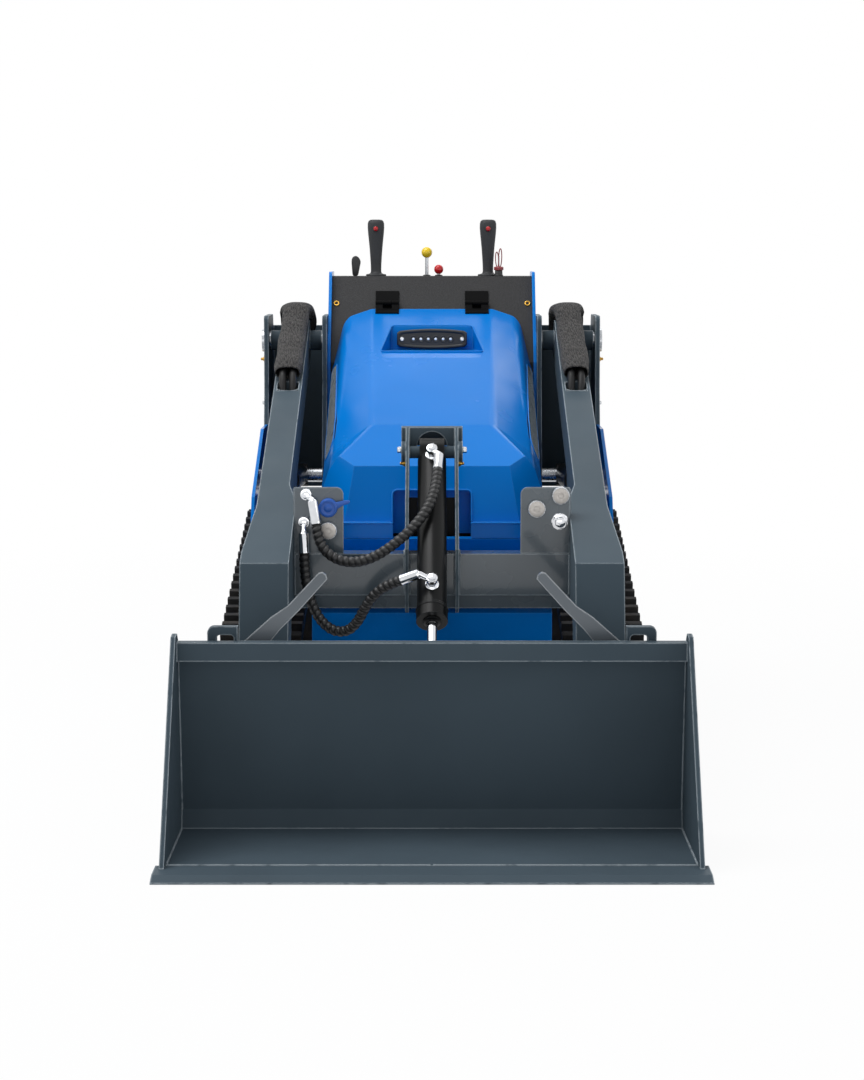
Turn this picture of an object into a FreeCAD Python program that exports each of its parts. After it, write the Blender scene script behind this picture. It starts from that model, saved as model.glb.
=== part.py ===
import FreeCAD, Part
import math
import os
import Sketcher

# Stand-on compact track loader with a 4-in-line lift arm frame and a general purpose bucket.
# Millimetres, +Z up, the bucket towards -Y, X across. The origin is on the ground under the
# middle of the machine's length. "Left" is -X, "right" is +X.

Vector = FreeCAD.Vector

# --------------------------------------------------------------------------------------
# Driving sizes: each is one cell of the spreadsheet, and each is written only here.
# --------------------------------------------------------------------------------------

SIZES = {
    # overall stations
    "machine_length": 2400,
    "chassis_half": 265,
    # undercarriage
    "track_mid": 380,
    "track_width": 180,
    "belt_thick": 22,
    "lug_height": 18,
    "lug_thick": 24,
    "lug_count": 54,
    "idler_y": -332,
    "idler_wheel": 148,
    "sprocket_y": 428,
    "sprocket_height": 378,
    "sprocket_wheel": 125,
    "rear_wheel_y": 505,
    "rear_wheel": 82,
    "roller_radius": 55,
    "roller_count": 4,
    "frame_plate": 10,
    "frame_half": 54,
    # chassis tub
    "tub_front_y": -434,
    "tub_nose_height": 408,
    "tub_deck_y": -200,
    "tub_deck_height": 515,
    "tub_top": 546,
    "tub_bottom": 170,
    "tub_wall": 10,
    "tub_rear_y": 808,
    "rear_body_height": 900,
    "bay_floor": 300,
    # console
    "panel_foot_y": 608,
    "panel_foot_height": 910,
    "panel_head_y": 748,
    "console_height": 1132,
    "console_rear_y": 868,
    "sheet_thick": 5,
    "side_plate": 8,
    # hood
    "hood_front_y": -132,
    "hood_front_height": 706,
    "hood_slope": 0.4147,
    "hood_break_y": 48,
    "hood_wall": 4,
    "hood_gap": 5,
    "hood_half": 260,
    "notch_half": 90,
    "notch_height": 104,
    "lip_height": 34,
    "lip_reach": 30,
    # towers
    "tower_plate": 12,
    "tower_gap": 139,
    "tower_top": 1032,
    "tower_front_y": 568,
    "tower_rear_y": 756,
    # lift arms
    "lift_pin_y": 634,
    "lift_pin_height": 967,
    "lift_pin_radius": 22,
    "pin_clearance": 0.3,
    "arm_mid": 354,
    "arm_width": 68,
    "leg_half": 52,
    "arm_hub": 52,
    "leg_hub": 42,
    "elbow_y": -657,
    "elbow_height": 548,
    "bucket_pin_y": -714,
    "bucket_pin_height": 165,
    "bucket_pin_radius": 16,
    "tube_front_y": -452,
    "tube_depth": 60,
    "tube_bottom": 450,
    "tube_height": 92,
    # cylinders
    "lift_base_y": 558,
    "lift_base_height": 620,
    "lift_eye_y": -32,
    "lift_eye_height": 660,
    "lift_bore": 33,
    "lift_rod": 17,
    "tilt_base_y": -292,
    "tilt_base_height": 752,
    "tilt_eye_y": -731,
    "tilt_eye_height": 325,
    "tilt_bore": 32,
    "tilt_rod": 11,
    "bracket_gap": 51,
    "bracket_plate": 8,
    # bucket and hitch plate
    "bucket_half": 530,
    "edge_half": 540,
    "edge_depth": 98,
    "edge_thick": 12,
    "bucket_side": 10,
    "bucket_sheet": 8,
    "hitch_half": 464,
    "hitch_thick": 16,
    "hitch_bottom": 90,
    "hitch_top": 395,
    "tab_inner": 398,
    "tab_outer": 460,
    "tab_top": 440,
    "bucket_back_foot": 51,
    "bucket_back_top": 372,
    "bucket_lip_depth": 30,
    # operator's platform
    "platform_hinge_y": 836,
    "platform_hinge_height": 235,
    "platform_half": 250,
    "platform_thick": 40,
    # hoses
    "hose_radius": 11,
}

document = FreeCAD.newDocument("track_loader")
sheet = document.addObject("Spreadsheet::Sheet", "Sizes")
for row, (alias, number) in enumerate(SIZES.items(), 1):
    sheet.set(f"A{row}", alias)
    sheet.set(f"B{row}", str(number))
    sheet.setAlias(f"B{row}", alias)
document.recompute()


class Size:
    """A length with its value now and the expression that gives it from the sheet's cells."""

    def __init__(self, value, text):
        self.value = float(value)
        self.text = text

    def __float__(self):
        return self.value

    def __add__(self, other):
        other = as_size(other)
        return Size(self.value + other.value, f"({self.text} + {other.text})")

    def __sub__(self, other):
        other = as_size(other)
        return Size(self.value - other.value, f"({self.text} - {other.text})")

    def __mul__(self, other):
        other = as_size(other)
        return Size(self.value * other.value, f"({self.text} * {other.text})")

    def __truediv__(self, other):
        other = as_size(other)
        return Size(self.value / other.value, f"({self.text} / {other.text})")

    def __radd__(self, other):
        return as_size(other) + self

    def __rsub__(self, other):
        return as_size(other) - self

    def __rmul__(self, other):
        return as_size(other) * self

    def __neg__(self):
        return Size(-self.value, f"(0 - {self.text})")


def as_size(number):
    if isinstance(number, Size):
        return number
    return Size(number, f"({number})")


def cell(alias):
    return Size(sheet.get(alias), f"Sizes.{alias}")


# --------------------------------------------------------------------------------------
# Ways of making pieces
# --------------------------------------------------------------------------------------

NODES = []
ALONG = {
    "X": FreeCAD.Rotation(Vector(0, 1, 0), 90),
    "Y": FreeCAD.Rotation(Vector(1, 0, 0), -90),
    "Z": FreeCAD.Rotation(),
}
PLANES = {"X": "YZ_Plane", "Y": "XZ_Plane", "Z": "XY_Plane"}


def bind(item, name, size):
    item.setExpression(name, as_size(size).text)


def place(item, x, y, z):
    bind(item, "Placement.Base.x", x)
    bind(item, "Placement.Base.y", y)
    bind(item, "Placement.Base.z", z)


def box(label, low, high):
    """A block between two corners."""
    item = document.addObject("Part::Box", label)
    bind(item, "Length", high[0] - low[0])
    bind(item, "Width", high[1] - low[1])
    bind(item, "Height", high[2] - low[2])
    place(item, *low)
    return item


def rod(label, axis, start, radius, length):
    """A round bar from a point along +X, +Y or +Z."""
    item = document.addObject("Part::Cylinder", label)
    item.Placement.Rotation = ALONG[axis]
    bind(item, "Radius", radius)
    bind(item, "Height", length)
    place(item, *start)
    return item


def plate(label, axis, start, thick, points, rounded=(), radius=0, holes=()):
    """A plate of an outline across an axis, from start, with round holes (a, b, radius)."""
    body = document.addObject("PartDesign::Body", label)
    sketch = body.newObject("Sketcher::SketchObject", label + "_outline")
    plane = [item for item in body.Origin.OriginFeatures if item.Role == PLANES[axis]][0]
    sketch.AttachmentSupport = [(plane, "")]
    sketch.MapMode = "FlatFace"
    lift = -(as_size(start) + thick) if axis == "Y" else as_size(start)
    bind(sketch, "AttachmentOffset.Base.z", lift)
    corners = [Vector(float(a), float(b), 0) for a, b in points]
    count = len(corners)
    for index in range(count):
        sketch.addGeometry(Part.LineSegment(corners[index], corners[(index + 1) % count]))
    for index in range(count):
        sketch.addConstraint(Sketcher.Constraint("Coincident", index, 2, (index + 1) % count, 1))
    for index, point in enumerate(points):
        pin_point(sketch, index, 1, point)
    for a, b, hole in holes:
        circle = Part.Circle(Vector(float(a), float(b), 0), Vector(0, 0, 1), float(hole))
        number = sketch.addGeometry(circle)
        pin_point(sketch, number, 3, (a, b))
        limit = sketch.addConstraint(Sketcher.Constraint("Radius", number, float(hole)))
        bind(sketch, f"Constraints[{limit}]", hole)
    pad = body.newObject("PartDesign::Pad", label + "_pad")
    pad.Profile = sketch
    bind(pad, "Length", thick)
    if rounded:
        document.recompute()
        fillet = body.newObject("PartDesign::Fillet", label + "_corners")
        fillet.Base = (pad, corner_edges(pad.Shape, axis, [corners[index] for index in rounded]))
        bind(fillet, "Radius", radius)
    return body


def pin_point(sketch, geometry, end, point):
    """Ties a sketch point to its two coordinates."""
    for kind, size in zip(("DistanceX", "DistanceY"), point):
        rule = Sketcher.Constraint(kind, -1, 1, geometry, end, float(size))
        bind(sketch, f"Constraints[{sketch.addConstraint(rule)}]", size)


def corner_edges(shape, axis, corners):
    """The names of the edges that run along the axis through the given outline corners."""
    keep = {"X": (1, 2), "Y": (0, 2), "Z": (0, 1)}[axis]
    names = []
    for number, edge in enumerate(shape.Edges, 1):
        ends = [(vertex.Point[keep[0]], vertex.Point[keep[1]]) for vertex in edge.Vertexes]
        for corner in corners:
            if all(math.dist(end, (corner.x, corner.y)) < 0.01 for end in ends):
                names.append(f"Edge{number}")
    return names


def fuse(label, parts):
    item = document.addObject("Part::MultiFuse", label)
    item.Shapes = parts
    return item


def cut(label, base, tools):
    item = document.addObject("Part::Cut", label)
    item.Base = base
    item.Tool = tools[0] if len(tools) == 1 else fuse(label + "_cutter", tools)
    return item


def common(label, first, second):
    item = document.addObject("Part::MultiCommon", label)
    item.Shapes = [first, second]
    return item


def mirrored(label, source):
    """The same piece on the other side of the machine."""
    item = document.addObject("Part::Mirroring", label)
    item.Source = source
    item.Normal = Vector(1, 0, 0)
    return item


def together(label, parts):
    """Like pieces that don't touch, kept as one node."""
    item = document.addObject("Part::Compound", label)
    item.Links = parts
    return item


def feature(label, shape):
    item = document.addObject("Part::Feature", label)
    item.Shape = shape
    item.Placement = FreeCAD.Placement()
    return item


def node(item, name=None):
    """Marks an object as one of the machine's pieces."""
    item.Label = name or item.Label
    NODES.append(item)
    return item


def both_sides(name, right):
    """Two nodes, NAME_right as given and NAME_left its mirror."""
    node(right, name + "_right")
    node(mirrored(name + "_left", right), name + "_left")


def pair(name, right):
    """One node that holds a piece and its mirror."""
    node(together(name, [right, mirrored(name + "_mirror", right)]), name)


def polygon_face(points, plane="YZ", offset=0.0):
    """A flat face from outline points, in the YZ or XZ plane."""
    if plane == "YZ":
        corners = [Vector(offset, float(a), float(b)) for a, b in points]
    else:
        corners = [Vector(float(a), offset, float(b)) for a, b in points]
    return Part.Face(Part.makePolygon(corners + corners[:1]))


# --------------------------------------------------------------------------------------
# Shared places
# --------------------------------------------------------------------------------------

front_y = -cell("machine_length") / 2
rear_y = cell("machine_length") / 2
chassis_half = cell("chassis_half")
lift_pin = (cell("lift_pin_y"), cell("lift_pin_height"))
bucket_pin = (cell("bucket_pin_y"), cell("bucket_pin_height"))
tilt_base = (cell("tilt_base_y"), cell("tilt_base_height"))
tilt_eye = (cell("tilt_eye_y"), cell("tilt_eye_height"))
lift_base = (cell("lift_base_y"), cell("lift_base_height"))
lift_eye = (cell("lift_eye_y"), cell("lift_eye_height"))
tower_inner = chassis_half + cell("side_plate")
tower_outer = tower_inner + cell("tower_plate") + cell("tower_gap")
arm_mid = cell("arm_mid")
arm_in = arm_mid - cell("arm_width") / 2
arm_out = arm_mid + cell("arm_width") / 2
leg_in = arm_mid - cell("leg_half")
leg_out = arm_mid + cell("leg_half")


# --------------------------------------------------------------------------------------
# Undercarriage
# --------------------------------------------------------------------------------------

def track_circles():
    """The three wheels that the belt runs round, as (y, z, wheel radius)."""
    stand = cell("belt_thick") + cell("lug_height")
    idler = (cell("idler_y"), cell("idler_wheel") + stand, cell("idler_wheel"))
    sprocket = (cell("sprocket_y"), cell("sprocket_height"), cell("sprocket_wheel"))
    rear = (cell("rear_wheel_y"), cell("rear_wheel") + stand, cell("rear_wheel"))
    return idler, sprocket, rear


def belt_path(grow):
    """The closed line round the three wheels, a given distance outside them."""
    wheels = [tuple(float(part) for part in wheel) for wheel in reversed(track_circles())]
    lines = []
    for index, (y1, z1, r1) in enumerate(wheels):
        y2, z2, r2 = wheels[(index + 1) % len(wheels)]
        span = math.hypot(y2 - y1, z2 - z1)
        heading = math.atan2(z2 - z1, y2 - y1)
        normal = heading - math.pi / 2 + math.asin((r1 - r2) / span)
        out = Vector(0, math.cos(normal), math.sin(normal))
        lines.append((Vector(0, y1, z1) + out * (r1 + grow), Vector(0, y2, z2) + out * (r2 + grow)))
    edges = []
    for index, (begin, end) in enumerate(lines):
        y, z, radius = wheels[index]
        before = lines[index - 1][1]
        half = (before - Vector(0, y, z)) + (begin - Vector(0, y, z))
        middle = Vector(0, y, z) + half.normalize() * (radius + grow)
        if turns_past_half(before, begin, (y, z)):
            middle = Vector(0, y, z) * 2 - middle
        edges.append(Part.Arc(before, middle, begin).toShape())
        edges.append(Part.LineSegment(begin, end).toShape())
    return Part.Wire(edges)


def turns_past_half(before, after, centre):
    """Whether an anticlockwise arc from one point to the next turns more than half a circle."""
    first = math.atan2(before.z - centre[1], before.y - centre[0])
    second = math.atan2(after.z - centre[1], after.y - centre[0])
    return (second - first) % (2 * math.pi) > math.pi


def track_belt():
    """The rubber belt with its lugs, round the wheels of the right side."""
    inner = belt_path(0.0)
    outer = belt_path(float(cell("belt_thick")))
    inside = float(cell("track_mid") - cell("track_width") / 2)
    width = float(cell("track_width"))
    belt = Part.Face([outer, inner]).extrude(Vector(width, 0, 0))
    count = int(cell("lug_count").value)
    thick = float(cell("lug_thick"))
    height = float(cell("lug_height"))
    sink = float(cell("belt_thick")) / 2
    lugs = []
    for point, tangent in spaced_points(outer, count):
        side = tangent * (thick / 2)
        out = Vector(0, tangent.z, -tangent.y)
        corners = [point - side - out * sink, point + side - out * sink,
                   point + side * 0.7 + out * height, point - side * 0.7 + out * height]
        lugs.append(Part.Face(Part.makePolygon(corners + corners[:1])).extrude(Vector(width, 0, 0)))
    track = belt.multiFuse(lugs)
    track.translate(Vector(inside, 0, 0))
    return track.removeSplitter()


def spaced_points(wire, count):
    """Evenly spaced points of a closed wire, with the direction of travel at each."""
    total = wire.Length
    pitch = total / count
    edges = wire.OrderedEdges
    starts = [sum(edge.Length for edge in edges[:index]) for index in range(len(edges))]
    for number in range(count):
        along = number * pitch
        index = max(i for i, start in enumerate(starts) if start <= along + 1e-9)
        edge = edges[index]
        share = along - starts[index]
        if edge.Orientation == "Reversed":
            share = edge.Length - share
        parameter = edge.getParameterByLength(share)
        tangent = edge.tangentAt(parameter)
        if edge.Orientation == "Reversed":
            tangent = -tangent
        yield edge.valueAt(parameter), tangent


def undercarriage():
    node(feature("track_right", track_belt()))
    node(mirrored("track_left", document.getObject("track_right")))

    mid = cell("track_mid")
    half = cell("frame_half")
    skin = cell("frame_plate")
    idler, sprocket, rear = track_circles()
    floor = cell("belt_thick") + cell("lug_height")
    axle_z = floor + cell("roller_radius")
    outline = [
        (idler[0] - 30, idler[1] - 34), (idler[0] + 60, floor + 24), (rear[0] + 24, floor + 24),
        (rear[0] + 24, rear[1] + 30), (idler[0] + 60, rear[1] + 96), (idler[0] - 30, idler[1] + 34),
    ]
    outer = plate("frame_outer", "X", mid + half - skin, skin, outline)
    inner = plate("frame_inner", "X", mid - half, skin, outline)
    top = box("frame_top", (mid - half, idler[0] + 165, rear[1] + 52),
              (mid + half, rear[0] - rear[2] - 8, rear[1] + 62))
    mounts = []
    for number, station in enumerate((idler[0] + 190, rear[0] - 230)):
        mounts.append(box(f"frame_mount_{number}", (chassis_half, station, rear[1] + 5),
                          (mid - half + skin / 2, station + 70, rear[1] + 62)))
    pair("track_frames", fuse("track_frame_right", [outer, inner, top] + mounts))

    wide = (half - skin) * 2 - 6
    start = mid - wide / 2
    wheel = rod("idler_wheel_body", "X", (start, idler[0], idler[1]), idler[2] - cell("pin_clearance"), wide)
    groove_depth = 28
    grooves = [
        ring(f"idler_groove_{side}", side, (start, idler[0], idler[1]), wide, idler[2] - groove_depth, 52)
        for side in ("in", "out")
    ]
    axle = rod("idler_axle", "X", (mid - half + skin, idler[0], idler[1]), 24, (half - skin) * 2)
    pair("front_idlers", fuse("front_idler_right", [cut("idler_rim", wheel, grooves), axle]))

    rollers = []
    count = int(cell("roller_count").value)
    first = idler[0] + 215
    last = rear[0] - 150
    for number in range(count):
        station = first + (last - first) / (count - 1) * number
        roller = rod(f"roller_{number}", "X", (start, station, axle_z),
                     cell("roller_radius") - cell("pin_clearance"), wide)
        pin = rod(f"roller_pin_{number}", "X", (mid - half + skin, station, axle_z), 16, (half - skin) * 2)
        rollers.append(fuse(f"roller_whole_{number}", [roller, pin]))
    tail = rod("rear_roller", "X", (start, rear[0], rear[1]), rear[2] - cell("pin_clearance"), wide)
    tail_pin = rod("rear_roller_pin", "X", (mid - half + skin, rear[0], rear[1]), 20, (half - skin) * 2)
    rollers.append(fuse("rear_roller_whole", [tail, tail_pin]))
    pair("track_rollers", together("rollers_right", rollers))

    disc = feature("sprocket_disc", sprocket_shape())
    hub = rod("sprocket_motor", "X", (chassis_half, sprocket[0], sprocket[1]), 62, mid - 24 - chassis_half)
    cap = rod("sprocket_cap", "X", (mid, sprocket[0], sprocket[1]), 50, 50)
    pair("drive_sprockets", fuse("drive_sprocket_right", [hub, disc, cap]))


def ring(label, side, start, wide, outer, inner):
    """The hollow of a wheel's face, on its inner or outer side."""
    depth = wide * 0.36
    x = start[0] if side == "in" else start[0] + wide - depth
    place_at = (x, start[1], start[2])
    return cut(label, rod(label + "_disc", "X", place_at, outer, depth),
               [rod(label + "_hub", "X", place_at, inner, depth)])


def sprocket_shape():
    """The toothed drive wheel, with rounded teeth that reach the belt's inner face."""
    teeth = 15
    y, z, radius = (float(part) for part in track_circles()[1])
    root = radius - 20
    centre = Vector(float(cell("track_mid")) - 24, y, z)
    disc = Part.makeCylinder(root, 48, centre, Vector(1, 0, 0))
    parts = []
    for number in range(teeth):
        angle = 2 * math.pi * number / teeth
        out = Vector(0, math.cos(angle), math.sin(angle))
        side = Vector(0, -out.z, out.y)
        corners = [centre + out * (root - 8) - side * 15, centre + out * (radius - 0.5) - side * 7,
                   centre + out * (radius - 0.5) + side * 7, centre + out * (root - 8) + side * 15]
        parts.append(Part.Face(Part.makePolygon(corners + corners[:1])).extrude(Vector(48, 0, 0)))
    return disc.multiFuse(parts).removeSplitter()


# --------------------------------------------------------------------------------------
# Chassis, engine, console, hood
# --------------------------------------------------------------------------------------

def chassis():
    front = cell("tub_front_y")
    bottom = cell("tub_bottom")
    top = cell("tub_top") - 1
    wall = cell("tub_wall")
    foot = cell("panel_foot_y")
    outline = [
        (front, bottom + 40), (front + 60, bottom), (cell("tub_rear_y") - 60, bottom),
        (cell("tub_rear_y"), bottom + 40), (cell("tub_rear_y"), cell("rear_body_height")),
        (foot + 20, cell("rear_body_height")), (foot + 20, top), (cell("tub_deck_y") - 5, top),
        (cell("tub_deck_y"), cell("tub_deck_height")), (front, cell("tub_nose_height")),
    ]
    tub = plate("tub_solid", "X", -chassis_half, chassis_half * 2, outline)
    bay = box("tub_bay", (-chassis_half + wall, cell("tub_deck_y") + 40, cell("bay_floor")),
              (chassis_half - wall, foot + 10, top + 20))
    node(cut("chassis_tub", tub, [bay]))

    engine_base = cell("bay_floor")
    block = box("engine_core", (-190, cell("tub_deck_y") + 120, engine_base),
                (190, foot - 120, engine_base + 330))
    cover = box("engine_cover", (-130, cell("tub_deck_y") + 260, engine_base + 330),
                (130, foot - 180, engine_base + 400))
    node(fuse("engine_block", [block, cover]))

    skin = cell("sheet_thick")
    head_y = cell("panel_head_y")
    high = cell("console_height")
    back = cell("console_rear_y")
    low = cell("tub_top")
    lean = skin * 1.2
    panel = [
        (foot, low), (foot, cell("panel_foot_height")), (head_y, high), (back, high),
        (cell("tub_rear_y") + lean, cell("rear_body_height")), (cell("tub_rear_y"), cell("rear_body_height")),
        (back - lean, high - skin), (head_y + 2, high - skin), (foot + lean, cell("panel_foot_height") - 2),
        (foot + lean, low),
    ]
    node(plate("console_panel", "X", -chassis_half, chassis_half * 2, panel))

    lower = cell("lift_base_height") - 34
    sides = [
        (foot - 40, lower), (foot - 14, cell("panel_foot_height")), (head_y - 14, high + 12),
        (back + 4, high + 12), (back + 4, high - 40), (cell("tub_rear_y") + 4, cell("rear_body_height") - 30),
        (cell("tub_rear_y"), lower),
    ]
    right = plate("console_side_right", "X", chassis_half, cell("side_plate"), sides, rounded=(2, 3), radius=16)
    pair("console_side_plates", right)


def hood_rear():
    """The station where the hood's lofted form ends, inside the console."""
    return float(cell("panel_foot_y")) + 130


def hood_line(y):
    """The height of the hood's top at a station: two planes that meet at a slight break."""
    front = float(cell("hood_front_y"))
    middle = float(cell("hood_break_y"))
    if y < middle:
        share = (y - front) / (middle - front)
    else:
        share = (hood_rear() - y) / (hood_rear() - middle)
    return float(cell("hood_front_height")) + float(cell("hood_slope")) * (y - front) + 8 * share


def rounded_wire(corners, radii):
    """A closed outline whose corners are rounded by their radii, or sharp where that is none."""
    count = len(corners)
    turns = []
    for index, corner in enumerate(corners):
        back = (corners[index - 1] - corner).normalize()
        ahead = (corners[(index + 1) % count] - corner).normalize()
        turn = math.pi - back.getAngle(ahead)
        radius = radii[index]
        reach = radius * math.tan(turn / 2)
        deep = radius / math.cos(turn / 2) - radius
        middle = corner + (back + ahead).normalize() * deep if radius else None
        turns.append((corner + back * reach, middle, corner + ahead * reach))
    edges = []
    for index, (begin, middle, end) in enumerate(turns):
        if middle:
            edges.append(Part.Arc(begin, middle, end).toShape())
        edges.append(Part.LineSegment(end, turns[(index + 1) % count][0]).toShape())
    return Part.Wire(edges)


# stations of the hood: y, half width of the top, half width and fall of the bevel's foot,
# fall of the skirt's top, radius of the bevel's edges
def hood_stations():
    front = float(cell("hood_front_y"))
    return [
        (hood_rear(), 160, 228, 11, 118, 40), (float(cell("hood_break_y")), 148, 238, 66, 115, 34),
        (front + 42, 221, 242, 36, 92, 14), (front, 226, 246, 28, 90, 12), (front - 90, 226, 246, 28, 90, 12),
    ]


def drawn_in(before, corner, after, inset):
    """A convex corner of a section, moved in so that both its sides move by the inset."""
    first, second = [((b[1] - a[1]), (a[0] - b[0])) for a, b in ((corner, before), (after, corner))]
    first, second = [Vector(x, z, 0).normalize() for x, z in (first, second)]
    miter = (first + second) / (1 + first.dot(second))
    return corner[0] - miter.x * inset, corner[1] - miter.y * inset


def hood_section(station, inset):
    """One cross-section of the hood: a flat top, a bevel, a leaning side and an upright skirt."""
    y, half_top, corner, fall, drop, bend = station
    top = hood_line(y)
    side = float(cell("hood_half")) - inset
    low = float(cell("tub_top")) - (20 if inset else 0)
    bevel = [(0, top), (half_top, top), (corner, top - fall), (side + inset, top - drop)]
    right = [drawn_in(*bevel[:3], inset), drawn_in(*bevel[1:], inset), (side, top - drop - inset * 0.3), (side, low)]
    whole = [Vector(x, y, z) for x, z in right] + [Vector(-x, y, z) for x, z in reversed(right)]
    bends = [max(bend - inset, 2), max(bend - inset, 2), 0, 0]
    return rounded_wire(whole, bends + bends[::-1])


def front_bevel(side, inset):
    """What is cut off a front corner of the hood: a leaning bevel down to the lip."""
    front = float(cell("hood_front_y"))
    high = float(cell("hood_front_height"))
    lip_top = float(cell("tub_top") + cell("lip_height"))
    crease = Vector(180, front, high)
    foot = Vector(202, front - 35, lip_top)
    flank = Vector(238, front + 47, high - 16)
    out = (foot - crease).cross(flank - crease).normalize()
    down = (foot - crease).normalize()
    across = out.cross(down)
    start = crease - out * inset
    corners = [start + down * a + across * b for a, b in ((-300, -300), (300, -300), (300, 300), (-300, 300))]
    block = Part.Face(Part.makePolygon(corners + corners[:1])).extrude(out * 260)
    block = block.common(solid_box((0, front - 200, lip_top - inset), (400, front + 200, high + 200)))
    shift = inset * 1.1
    plan = [Vector(214 - shift, front - 90, 0), Vector(330, front - 90, 0), Vector(330, front + 36 + shift, 0),
            Vector(263 - shift, front + 36 + shift, 0)]
    corner = Part.Face(Part.makePolygon(plan + plan[:1])).extrude(Vector(0, 0, lip_top - inset))
    tool = block.fuse(corner)
    return tool if side > 0 else tool.mirror(Vector(0, 0, 0), Vector(1, 0, 0))


def hood_form(inset):
    """The hood as a solid, or the space inside it when inset by the wall."""
    front = float(cell("hood_front_y"))
    foot = float(cell("panel_foot_y")) - float(cell("hood_gap"))
    panel = float(cell("panel_foot_height"))
    lean = float((cell("panel_head_y") - cell("panel_foot_y")) /
                 (cell("console_height") - cell("panel_foot_height")))
    top = float(cell("console_height"))
    low = float(cell("tub_top"))
    body = Part.makeLoft([hood_section(station, inset) for station in hood_stations()], True, True)
    rear_add = 60 if inset else 0
    lip_top = low + float(cell("lip_height"))
    reach = float(cell("lip_reach"))
    slant = 35.0
    side = [
        (foot + rear_add, low - (20 if inset else 0)), (foot + rear_add, panel),
        (foot + rear_add + lean * (top - panel), top), (foot + rear_add + lean * (top - panel), top + 60),
        (front + 12 + inset, hood_line(front) + 42), (front - slant + inset, lip_top - (inset if inset else 0)),
        (front - slant - reach + inset, lip_top - inset),
        (front - slant - reach - 3 + inset, low - (20 if inset else 0)),
    ]
    width = float(cell("hood_half")) + 20
    body = body.common(polygon_face(side, offset=-width).extrude(Vector(2 * width, 0, 0)))
    return body.cut([front_bevel(1, inset), front_bevel(-1, inset)])


def solid_box(low, high):
    return Part.makeBox(high[0] - low[0], high[1] - low[1], high[2] - low[2], Vector(*low))


def prism(points, half):
    """An outline in the YZ plane, as wide as twice the half width."""
    return polygon_face(points, offset=-half).extrude(Vector(2 * half, 0, 0))


def hood():
    wall = float(cell("hood_wall"))
    front = float(cell("hood_front_y"))
    low = float(cell("tub_top"))
    shell = hood_form(0.0).cut(hood_form(wall))

    # the indent in the front face that the tilt cylinder passes through when the hood opens
    half = float(cell("notch_half"))
    high = low + float(cell("notch_height"))
    outside = solid_box((-half, front - 90, low - 1), (half, front + 26, high))
    tray = solid_box((-half - wall, front - 45, low), (half + wall, front + 26 + wall, high + wall))
    back = solid_box((-half, front + 26, low), (half, front + 26 + wall, high))
    window = solid_box((-54, front, low - 1), (54, front + 60, high - 20))
    inside = hood_form(0.0)
    shell = shell.fuse(tray.common(inside)).cut(outside).cut(back)
    node(feature("hood_notch_panel", back.cut(window)))

    # the lamp's recess in the top
    rear = front + 717
    lip = front + 575
    base = hood_line(lip)
    lamp_high = hood_line(rear)
    dish = lip - 52
    recess = prism([(lip, base - 3), (rear - 12, base - 3), (rear, lamp_high + 8), (lip, base + 90),
                    (dish, hood_line(dish) + 1)], 134)
    backing = prism([(dish - 8, hood_line(dish) - 7), (lip - wall, base - 3 - wall),
                     (rear - 12 + wall, base - 3 - wall), (rear + wall + 1, lamp_high - 1), (lip, base + 2)],
                    134 + wall)
    recess = recess.common(recess_plan(lip, rear, 0.0))
    backing = backing.common(recess_plan(lip, rear, wall))
    shell = shell.fuse(backing.common(inside)).cut(recess)

    # side grilles fill windows of the leaning sides
    grilles = []
    for side in (1, -1):
        sections = []
        for y, fall, tall in ((front + 698, 102, 12), (front + 650, 70, 43), (front + 482, 60, 53),
                              (front + 318, 55, 57), (front + 242, 61, 48), (front + 218, 80, 24)):
            top = hood_line(y) - fall
            corners = [Vector(side * 222, y, top), Vector(side * 290, y, top),
                       Vector(side * 290, y, top - tall), Vector(side * 222, y, top - tall)]
            sections.append(Part.makePolygon(corners + corners[:1]))
        tool = Part.makeLoft(sections, True, True)
        grilles.append(shell.common(tool))
        shell = shell.cut(tool)
    node(feature("hood_shell", shell))
    node(feature("hood_grilles", Part.makeCompound([piece.Solids[0] for piece in grilles])))

    lamp_y = rear - 12
    node(feature("work_lamp", solid_box((-92, lamp_y - 26, base - 3), (92, lamp_y, base + 54))))


def recess_plan(lip, rear, wall):
    """The lamp recess seen from above, wider towards the front."""
    low, high = lip - 60, rear + 20
    plan = [Vector(-131 - wall, lip, 0), Vector(-101 - wall, high, 0), Vector(101 + wall, high, 0),
            Vector(131 + wall, lip, 0), Vector(118, low, 0), Vector(-118, low, 0)]
    return Part.Face(Part.makePolygon(plan + plan[:1])).extrude(Vector(0, 0, 2000))


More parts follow.
